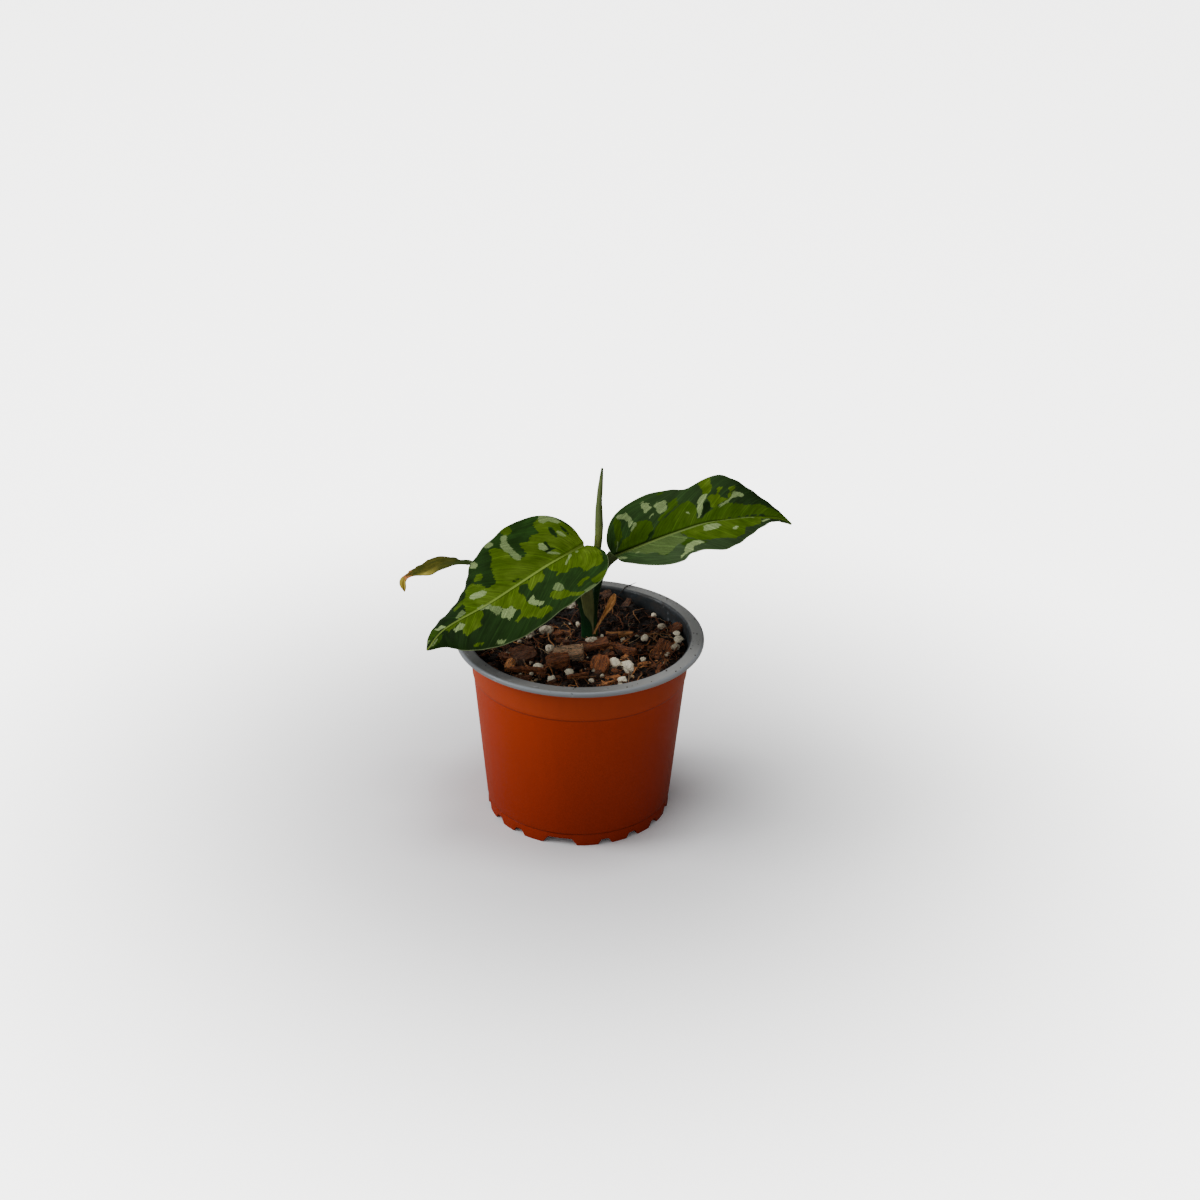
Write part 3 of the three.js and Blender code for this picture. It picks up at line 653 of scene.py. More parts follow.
def add_strand(heap, path, radius, tint, flat=1.0, sides=5):
    """A root, straw or splinter: a thin tube along a path, pointed at both ends."""
    count = len(path)
    heading = unit(np.gradient(path, axis=0))
    across = np.cross(heading, [0, 0, 1])
    across /= np.maximum(np.linalg.norm(across, axis=1, keepdims=True), 1e-6)
    through = np.cross(across, heading)
    taper = radius * np.clip(1.2 * np.sqrt(np.sin(np.linspace(0.06, math.pi - 0.06, count))), 0, 1)
    angles = np.arange(sides)[:, None] * 2 * math.pi / sides
    section = across[:, None] * np.cos(angles) + through[:, None] * (flat * np.sin(angles))
    points = (path[:, None] + taper[:, None, None] * section).reshape(-1, 3)
    lengthwise = np.repeat(np.arange(count) * 0.4, sides)
    round_it = np.tile(np.arange(sides) + tint * 40, count)
    grain = np.stack([lengthwise, round_it, np.zeros(len(points))], -1)
    heap.add(points, ring_faces(count, sides)[:, [0, 3, 2, 1]], tint, grain)


def lying_path(draw, x, y, turn, long, bend, rise):
    """A path that lies on the mix in a wandering bow, with its ends sunk in."""
    share = np.linspace(-0.5, 0.5, 10)
    swing = bend * (share * share * 4 - 1) + 0.25 * bend * np.sin(share * 9 + draw.uniform(0, 6))
    px = x + long * (math.cos(turn) * share - math.sin(turn) * swing)
    py = y + long * (math.sin(turn) * share + math.cos(turn) * swing)
    shrink = np.minimum(1, (MIX_RADIUS - 0.8) / np.maximum(np.hypot(px, py), 1e-6))
    px, py = px * shrink, py * shrink
    height = mix_height(px, py) - 0.5 + rise * np.cos(share * math.pi) + 0.2 * np.sin(share * 17)
    return np.stack([px, py, height], -1)


def spot(draw, margin, clear=3.4):
    """A place on the mix, off the wall and off the stem."""
    while True:
        x, y = draw.uniform(-1, 1, 2) * (MIX_RADIUS - margin)
        off_stem = math.hypot(x - STEM_AT[0], y - STEM_AT[1])
        if math.hypot(x, y) < MIX_RADIUS - margin and off_stem > clear + margin * 0.5:
            return x, y


def clear_of_seen(x, y, room):
    return all(math.hypot(x - g[0], y - g[1]) > g[2] + room for g in PERLITE_SEEN)


def bark_material():
    """Bark and humus: the tint runs from black humus to red-brown bark, then grey and straw."""
    made, tree, shader = new_material("bark_and_humus", 0.8, 0.25)
    tint = carried(tree, "tint")
    place = carried(tree, "grain", "Vector")
    fibre = cloud(stretched(place, (0.4, 2.4, 2.4)), 2.2, 4, 0.7)
    stain = cloud(place, 0.5, 3)
    shades = add_node("ValToRGB", {"Fac": plus(tint, times(minus(stain, 0.5), 0.14))})[0]
    stops = shades.node.color_ramp.elements
    while len(stops) < len(BARK_SHADES):
        stops.new(0.5)
    for stop, (position, shade) in zip(stops, BARK_SHADES):
        stop.position, stop.color = position, colour(*shade)
    chunks = cloud(stretched(place, (0.5, 1.2, 1.2)), 2.6)
    tone = times(between(fibre, 0.36, 0.68, 0.2, 1.75), between(chunks, 0.44, 0.54, 0.6, 1.25))
    # The mix is painted lighter at the front and darker at the rear: painted light and shade.
    tone = times(tone, between(axes_of(object_place(tree))["Y"], 0.026, -0.004, 0.8, 1.5))
    flecks = cloud(stretched(place, (0.7, 2, 2)), 4.5, 2, 0.7)
    bare = times(between(flecks, 0.58, 0.68), between(tint, 0.08, 0.4, 0.05, 0.6))
    bark = mixed(bare, toned(shades, tone), (178, 148, 112))
    roughness = between(stain, 0.35, 0.65, 0.62, 0.95)
    feed(shader, Base_Color=bark, Roughness=roughness, Normal=bumped(fibre, 0.9, 0.0006))
    return made


def perlite_material():
    """Puffed glass: nearly white, pitted and cracked, with a smeared film of dirt. The pits and cracks are
    painted darker: painted shade.
    """
    made, tree, shader = new_material("perlite", 0.85)
    dirt = carried(tree, "tint")
    place = carried(tree, "grain", "Vector")
    pits = add_node("TexVoronoi", {"Vector": place, "Scale": 1.9})["Distance"]
    cracks = add_node("TexVoronoi", {"Vector": place, "Scale": 0.8}, feature="DISTANCE_TO_EDGE")["Distance"]
    pit_and_crack_shade = times(between(pits, 0, 0.26, 0.6, 1), between(cracks, 0.01, 0.06, 0.7, 1))
    smear = between(cloud(place, 0.9, 4, 0.7), 0.32, 0.66)
    grime = times(plus(times(dirt, 1.1), 0.06), smear)
    film = calc("MAXIMUM", times(dirt, 0.7), calc("MINIMUM", grime, 1))
    base = mixed(film, toned(colour(255, 243, 212), pit_and_crack_shade), (100, 80, 58))
    feed(shader, Base_Color=base, Normal=bumped(pits, 0.6, 0.0005))
    return made


BARK = bark_material()
PERLITE = perlite_material()
humus_bed()

mix_draw = np.random.default_rng(51)
chips, chip_lattice, small_lattice = Heap(), lattice_cube(12), lattice_cube(5)
for x, y, long, wide, thick, turn, pitch, tint in CHIPS_SEEN:
    add_chip(chips, chip_lattice, mix_draw, x, y, long, wide, thick, turn, pitch, tint,
             lift=0.3, broken=0.15)
for _ in range(MORE_CHIPS):
    x, y = spot(mix_draw, 2.4)
    long, wide = mix_draw.uniform(2, 6), mix_draw.uniform(1.2, 3.6)
    thick, tint = mix_draw.uniform(0.7, 1.6), mix_draw.choice([0.1, 0.2, 0.3, 0.4, 0.5, 0.65])
    turn, pitch = mix_draw.uniform(0, 360), mix_draw.uniform(-30, 30)
    if clear_of_seen(x, y, 1.2):
        # Chips further back get darker tints: painted shade.
        shade = tint * (1 - 0.6 * smooth_step(y, 4, 24))
        add_chip(chips, small_lattice, mix_draw, x, y, long, wide, thick, turn, pitch, shade,
                 lift=-0.1, broken=0.6)
chips.piece("bark_chips", BARK, 38)

grains, fine_ball, small_ball = Heap(), ball(3), ball(2)
for x, y, radius, rise, dirt in PERLITE_SEEN:
    add_grain(grains, fine_ball, mix_draw, x, y, radius, rise, dirt)
for _ in range(MORE_GRAINS):
    x, y = spot(mix_draw, 1.2)
    if y > 12 or clear_of_seen(x, y, 2):
        radius, dirt = mix_draw.uniform(0.4, 1), mix_draw.uniform(0.5, 1)
        add_grain(grains, small_ball, mix_draw, x, y, radius, 0.85, dirt)
grains.piece("perlite_grains", PERLITE)

strands = Heap()
for _ in range(STRAND_COUNT):
    x, y = spot(mix_draw, 2.2)
    path = lying_path(mix_draw, x, y, mix_draw.uniform(0, 2 * math.pi), mix_draw.uniform(4, 15),
                      mix_draw.uniform(-0.3, 0.3), mix_draw.uniform(0.5, 1.8))
    off_stem = np.hypot(path[:, 0] - STEM_AT[0], path[:, 1] - STEM_AT[1]).min()
    if off_stem > 2.6:
        thin = mix_draw.random() ** 1.8
        tint = mix_draw.choice([0.35, 0.5, 0.65, 0.8, 0.95]) - 0.3 * thin
        add_strand(strands, path, 0.08 + 0.26 * thin, tint, 0.7)
add_strand(strands, np.array(REAR_ROOT), 0.22, 0.15)
strands.piece("roots_and_straw", BARK)

crumbs, plain_ball, round_ball = Heap(), ball(0), ball(1)
for _ in range(CRUMB_COUNT):
    x, y = spot(mix_draw, 0.5, 2.2)
    radius = 0.22 + 0.75 * mix_draw.random() ** 2.2
    shape, faces = round_ball if radius > 0.6 else plain_ball
    jitter = 1 + mix_draw.uniform(-0.28, 0.28, len(shape))
    lump = shape * jitter[:, None] * radius * [1, mix_draw.uniform(0.5, 1), mix_draw.uniform(0.5, 0.9)]
    lump = lump @ turn_matrix(mix_draw.uniform(0, 360)).T
    tint = mix_draw.choice(list(CRUMB_TINTS), p=list(CRUMB_TINTS.values()))
    # Crumbs further back get darker tints: painted shade.
    shade = tint * (1 - 0.7 * smooth_step(y, 4, 24))
    height = mix_height(x, y) - 0.6 + mix_draw.uniform(-0.2, 0.7)
    crumbs.add(lump + [x, y, height], faces, shade, lump + tint * 90)
for turn in [-4, -0.6, 0.5, 1.2, 2.3, 3.1, 4.4, *mix_draw.uniform(0, 360, 22)]:
    reach, radius = mix_draw.uniform(RIM_RADIUS - 4, RIM_RADIUS - 0.8), mix_draw.uniform(0.12, 0.32)
    lump = plain_ball[0] * (1 + mix_draw.uniform(-0.3, 0.3, 12))[:, None] * radius * [1, 1, 0.6]
    place = [reach * math.sin(turn), -reach * math.cos(turn), RIM_TOP + 0.3 * radius]
    crumbs.add(lump + place, plain_ball[1], 0.1, lump)
crumbs.piece("humus_crumbs", BARK, 30)


# The leaf blades: two broad thin leaves on which dark green, lime and silver patches meet in
# jagged edges along the side veins. Each grows from its stalk and is folded along a midrib
# that is a channel above and a keel below.
BLADE_THICKNESS = 0.42
BLADE_GRID = (250, 133)
BLADE_ENDS = (0.012, 0.992)
ARCH = 0.2
VEIN_SPACING = 6.2
RUFFLE_SPACING = 8.3
RUFFLE_HEIGHT = 0.55
PATCH_EDGE = 0.09
FRONT_LEAF = {
    "midrib": ((1.4, 0, 103.9), (-12.3, -10, 101), (-31, -21.5, 92.5), (-46.8, -25.6, 83.4),
               (-53, -28.6, 76.2)),
    "roll": (-23.5, -23.5, -25.5),
    "half": ((0, 10.1, 18.5, 23, 22.4, 18.8, 12.2, 5, 0), (0, 9.9, 18.1, 22.4, 21.2, 18.4, 11.6, 4.9, 0)),
    "lobe": (0.145, 0.075),
    "fold": ((40, 35, 22, 14, -7, -9, -10), (18, 10, -2, -3, -21, -33, -9)),
    "lime_shade_by_half": (0.2, 0),
    "painted_sheen": (0.02, 0.1),
    "rib_width": 1.1,
    "length": 69.6,
    "quilt": 0.1,
    "rib_line": (-0.5, 0.3, 1, 0.9, 0.6, 0.3, 0.2, 0),
}
RIGHT_LEAF = {
    "midrib": ((12.7, 6.9, 96.9), (34.2, 8.2, 105.6), (49.2, 6.9, 111.6), (66.2, 5.9, 113.8),
               (74.8, 3.9, 112)),
    "roll": (29.5, 19.5, 8.5),
    "half": ((0, 7.4, 15.3, 19.7, 17.2, 18.5, 10.5, 3.5, 0), (0, 7.4, 15.1, 19.5, 17, 18.2, 10.3, 3.5, 0)),
    "lobe": (0.125, 0),
    "fold": ((45, 35, 13, 13, 19, -5, 10), (29, 32, 21, 15, 9, 23, 13)),
    "lime_shade_by_half": (0.4, 0.65),
    "painted_sheen": (0.55, 0.22),
    "rib_width": 0.55,
    "length": 65.4,
    "quilt": 0.18,
    "rib_line": (0.3, 0.5, 0.5, 0.2, -0.6, -0.2, 0.2, 0),
}
# Patches on the flattened blades, in millimetres along the midrib and to its left. Each has
# its strength and its outline.
FRONT_PATCHES = {
    "lime": (
        (1, (-1.4, 0.5), (-1.1, 4), (-0.4, 7), (0.6, 10.4), (2, 13.4), (3.6, 15.4), (5, 16), (6.2, 15.6),
         (8, 15.2), (10, 15.2), (11.3, 14.5), (10.9, 12.8), (11.4, 11), (11.9, 9.6), (13.5, 9.4), (14.5, 10),
         (15.3, 10.4), (16.2, 9.2), (17.2, 8.8), (18.2, 8.8), (17, 7), (17.3, 6), (18.2, 4.2), (17.4, 2.6),
         (17.5, 0.3)),
        (0.7, (5.5, 19.6), (7.5, 19), (9.5, 19.2), (11.8, 19), (12, 20.3), (11.8, 21.5), (10, 22.4), (8, 22),
         (6.3, 20.8)),
        (0.9, (11.3, 18.2), (12.8, 18.6), (14, 18.3), (14.6, 19), (15.6, 19.3), (16.4, 18.8), (16, 17.7),
         (15, 17.2), (14, 17), (13, 17.4), (12, 17.4)),
        (1, (16.2, 22.4), (17.5, 21.3), (19, 19.6), (19.4, 17.9), (19.9, 16.3), (21.2, 16), (21.8, 14.2),
         (22.6, 13.8), (23.7, 15), (23.3, 17), (22.8, 18.6), (21.8, 19.5), (20.2, 20.2), (18.6, 21.6),
         (17.2, 23)),
        (1, (20, 2.2), (20.2, 5), (21, 6), (22, 7.1), (22.8, 7), (23.1, 6), (24.2, 6.6), (25.5, 8.1),
         (25.8, 6), (25.4, 4.5), (25, 3.2), (25.8, 2.3)),
        (1, (24.7, 19), (25.4, 19.7), (26.6, 19.5), (28.4, 19), (29.2, 18), (29.6, 16.6), (30.4, 15.6),
         (30.6, 14.3), (32.5, 14.3), (33, 13.9), (33, 13.3), (31.6, 13), (30.6, 12.8), (30.6, 11),
         (31.2, 10.3), (31.3, 9), (32, 7.8), (33.5, 6.8), (33.8, 5), (34.6, 3.5), (35.5, 2.2), (35, 0.4),
         (27.5, 0.4), (27.2, 2.5), (27.8, 5), (27.9, 8), (28.1, 10.2), (28, 12.2), (27.2, 14.6),
         (26.8, 16.2), (26.2, 16.6), (25.4, 17.6)),
        (0.9, (17, -0.3), (17, 2.1), (20, 2.3), (25, 2.5), (27.5, 2.6), (36, 0.4), (46, 0.4), (46, -0.3)),
        (0.85, (38.3, 2.2), (38.6, 4.2), (40, 5.2), (40.4, 7.4), (41, 7.7), (43, 7.6), (44.5, 8.1),
         (45.7, 8), (46.2, 6.6), (46.2, 5), (45.6, 3.5), (45.6, 1.8), (45, 0.2), (39.5, 0.2)),
        (0.8, (42.1, 13.4), (43, 13.6), (44.5, 13.1), (45.6, 12.6), (45, 12.1), (43.6, 12.4), (42.4, 12.9)),
        (0.85, (45, 0.6), (46.4, 2), (48, 2.3), (50.3, 2.2), (51.6, 2.6), (51, 1.6), (52, 0.9), (50, 0.4),
         (47, 0.4)),
        (0.45, (54, 1.6), (58, 2.4), (61.5, 2), (64, 1.4), (66.5, 0.8), (64, 0.3), (58, 0.8), (55, 0.9)),
        (0.45, (54.5, -0.5), (58, -0.6), (62, -0.8), (64.5, -1.2), (62, -3.6), (59, -5.6), (57, -6),
         (56.8, -4.2), (55.8, -2.2)),
        (1, (-1.2, 0.5), (-0.8, -5), (0.6, -9), (2.2, -12.6), (4.6, -15.6), (6.8, -18.6), (9, -18.3),
         (10.9, -18.3), (11.6, -15), (11.9, -12.7), (13, -12.8), (14.3, -13.5), (15.6, -12.6), (16.4, -11.8),
         (17, -10.8), (17.8, -11.7), (18.9, -12.4), (19.4, -11.6), (19.3, -9), (19.8, -7.4), (21, -7),
         (22.5, -7.5), (22.5, 0.5)),
        (1, (22, 0.5), (22, -7.5), (23.1, -10), (23.1, -12.6), (23.6, -15), (24.2, -16.6), (25.7, -18.4),
         (26.2, -17), (26.9, -14.8), (27.4, -13.3), (28.7, -11.8), (29.1, -9.2), (29.9, -7.2), (30.1, -5.4),
         (30.8, -4.6), (32.5, -4.9), (33.5, -5.6), (33.6, -7.4), (34.4, -9), (35.6, -11.2), (36.4, -12.7),
         (38, -13.8), (40, -13.6), (40.8, -11.4), (41.2, -9.5), (42.5, -8.6), (43, -7), (42.4, -5),
         (42.8, -3.8), (43, 0.5)),
        (0.75, (42, -7.4), (44, -6.6), (46.4, -6.2), (46.8, -7.6), (46.6, -9), (45, -9.6), (43, -10.2),
         (42, -9)),
        (0.8, (18, -19.6), (18.8, -18.6), (19.8, -18.3), (20.4, -19.4), (20.6, -22), (18.2, -22.6)),
        (0.9, (31.6, -11.4), (32.4, -10), (33.2, -10.3), (34.4, -11.6), (35.2, -12.2), (34.4, -13),
         (33.2, -13.3), (32, -12.8)),
    ),
    "dark": (
        (1, (10, -3.4), (11.5, -3.9), (12.6, -4), (13.4, -3.6), (14.4, -4), (15, -5.2), (13.2, -5),
         (12.9, -6.6), (13, -8), (12.2, -8.2), (11.8, -6.8), (12, -5), (10.8, -4.2)),
        (1, (7, -8), (7.8, -7.6), (8.3, -9), (8.5, -10), (8.1, -12), (7.4, -12.7), (6.8, -12), (6.6, -10)),
        (1, (24.9, 0.2), (26.4, -0.5), (27.2, -1.3), (26.8, -1.8), (25.6, -1.1)),
        (1, (2.8, -6.5), (3.4, -6.4), (3.8, -9), (3.9, -12), (3.3, -12.6), (3, -10)),
    ),
    "silver": (
        (0.6, (19.8, 16.2), (20.8, 16), (21.4, 14.8), (22, 13.3), (21.6, 12.5), (20.6, 12), (20.2, 11.6),
         (19.6, 12.2), (19.2, 13.2), (19.3, 14.6)),
        (0.8, (7.6, 1.6), (8.6, 2.9), (10.2, 4), (12.2, 5.6), (13.4, 6.5), (13.4, 5.8), (12.3, 4.8),
         (10.8, 3.6), (9.4, 2.2), (8.2, 1.4)),
        (0.6, (4.3, 1.6), (5, 2.6), (6.2, 3), (6, 1.9), (5, 1.3)),
        (0.45, (12.2, 22), (14, 21.9), (16, 22), (16, 23.4), (12, 23.4)),
        (1, (25.5, 15), (26.2, 15.3), (26.8, 15.2), (27.3, 14), (27.8, 12.6), (28.1, 11.5), (27.9, 10.2),
         (26.8, 10), (26.2, 9.8), (26.4, 11.2), (26.6, 12.2), (26.1, 13.5)),
        (1, (31.3, 10.2), (32.2, 10.6), (33, 11.5), (33.8, 11.8), (34, 10.6), (34.4, 9.8), (34.9, 9.6),
         (34.7, 8.4), (34.2, 7.3), (34.4, 6.8), (33.6, 6.5), (33, 7.2), (31.6, 7.6), (31.4, 8.6)),
        (0.6, (33.6, 6.6), (34.6, 7.2), (35.6, 7.4), (36, 6), (36, 4.6), (36.3, 3.4), (36.8, 2.8),
         (35.6, 2.2), (34.4, 3.8), (33.7, 4.6)),
        (0.85, (35.4, 2), (36.6, 2.9), (37.6, 2), (38.4, 1.6), (39.3, 0.8), (39.3, -0.1), (37, 0.1),
         (35.6, 0.7)),
        (1, (44.6, 3.5), (45.4, 4.3), (46, 4.9), (46.8, 4.4), (48.8, 4.2), (48.9, 2.9), (48, 2.5),
         (46.4, 2.3), (45.7, 1.8), (45.2, 2.6)),
        (0.8, (36.8, 17), (37.8, 17.4), (38.6, 17.2), (39.2, 16.2), (38.6, 15.4), (38, 15.7), (37.4, 16.4)),
        (0.85, (58.6, 1.1), (61, 1.2), (63.5, 1), (66, 0.6), (67.8, 0.3), (67, -0.1), (64, 0.2), (61, 0.6),
         (58.8, 0.7)),
        (0.7, (62.5, -1.5), (64, -1.3), (66.5, -1.2), (65.5, -1.9), (63.5, -2)),
        (1, (51, -0.2), (52.6, -0.3), (53.6, -1), (54.6, -1.3), (55.6, -2.4), (56, -3.4), (56.6, -4.7),
         (55.4, -4), (54.6, -3.2), (53.4, -3.6), (52.5, -3.4), (52.2, -2.2), (51.6, -1.2)),
        (0.5, (42.9, -0.8), (45.4, -0.3), (46.4, -0.8), (46.8, -1.6), (46, -2.6), (45.2, -3.4), (43.6, -3.8),
         (43, -2.4)),
        (0.7, (2.3, -12.5), (4, -12.6), (5.2, -14), (6, -15.2), (8, -15.4), (8.8, -16.4), (8.9, -17.4),
         (8, -18.4), (6.6, -19.2), (4.6, -17.6), (3, -15.4)),
        (0.7, (20.8, -7.6), (21.9, -6.6), (22.6, -7.2), (23, -8.4), (23.2, -9.8), (22.9, -11.4),
         (23.3, -13.4), (23.6, -15.6), (23.4, -16.4), (22.6, -17.4), (21.9, -18.8), (21.2, -19.7),
         (20.1, -19), (20, -18.2), (20.9, -16.6), (21.4, -14.6), (21.5, -12.4), (21.4, -10.4), (21.4, -8.8)),
        (1, (34, -4), (35, -3.5), (36.4, -3.7), (37.6, -4.4), (39, -4.8), (39.6, -6), (40, -7.6),
         (39.6, -8.2), (38.2, -7.9), (36.6, -7), (35.4, -6.2), (34.2, -5.6)),
        (1, (13.1, -5.1), (14.8, -5.2), (15.5, -6.2), (15.6, -7.2), (15, -8.2), (14.2, -8.6), (13.2, -8.2),
         (13, -6.6)),
        (0.8, (10.4, -1), (11.6, -1.6), (13, -2.4), (14, -3.2), (14.6, -4), (13.4, -3.8), (12, -2.9),
         (11, -2)),
        (0.6, (4.3, -6.2), (5.4, -6.6), (6.2, -7.6), (6.5, -8.6), (6.2, -9.8), (5.4, -9.6), (4.7, -8.2)),
        (0.75, (24, -19), (25, -18.4), (25.8, -18.8), (26.2, -21), (24.2, -21.4)),
        (0.9, (31, -15.8), (32, -16.2), (32.6, -17.6), (33, -19), (31.8, -19.4), (30.8, -18.8), (30.8, -17)),
    ),
}
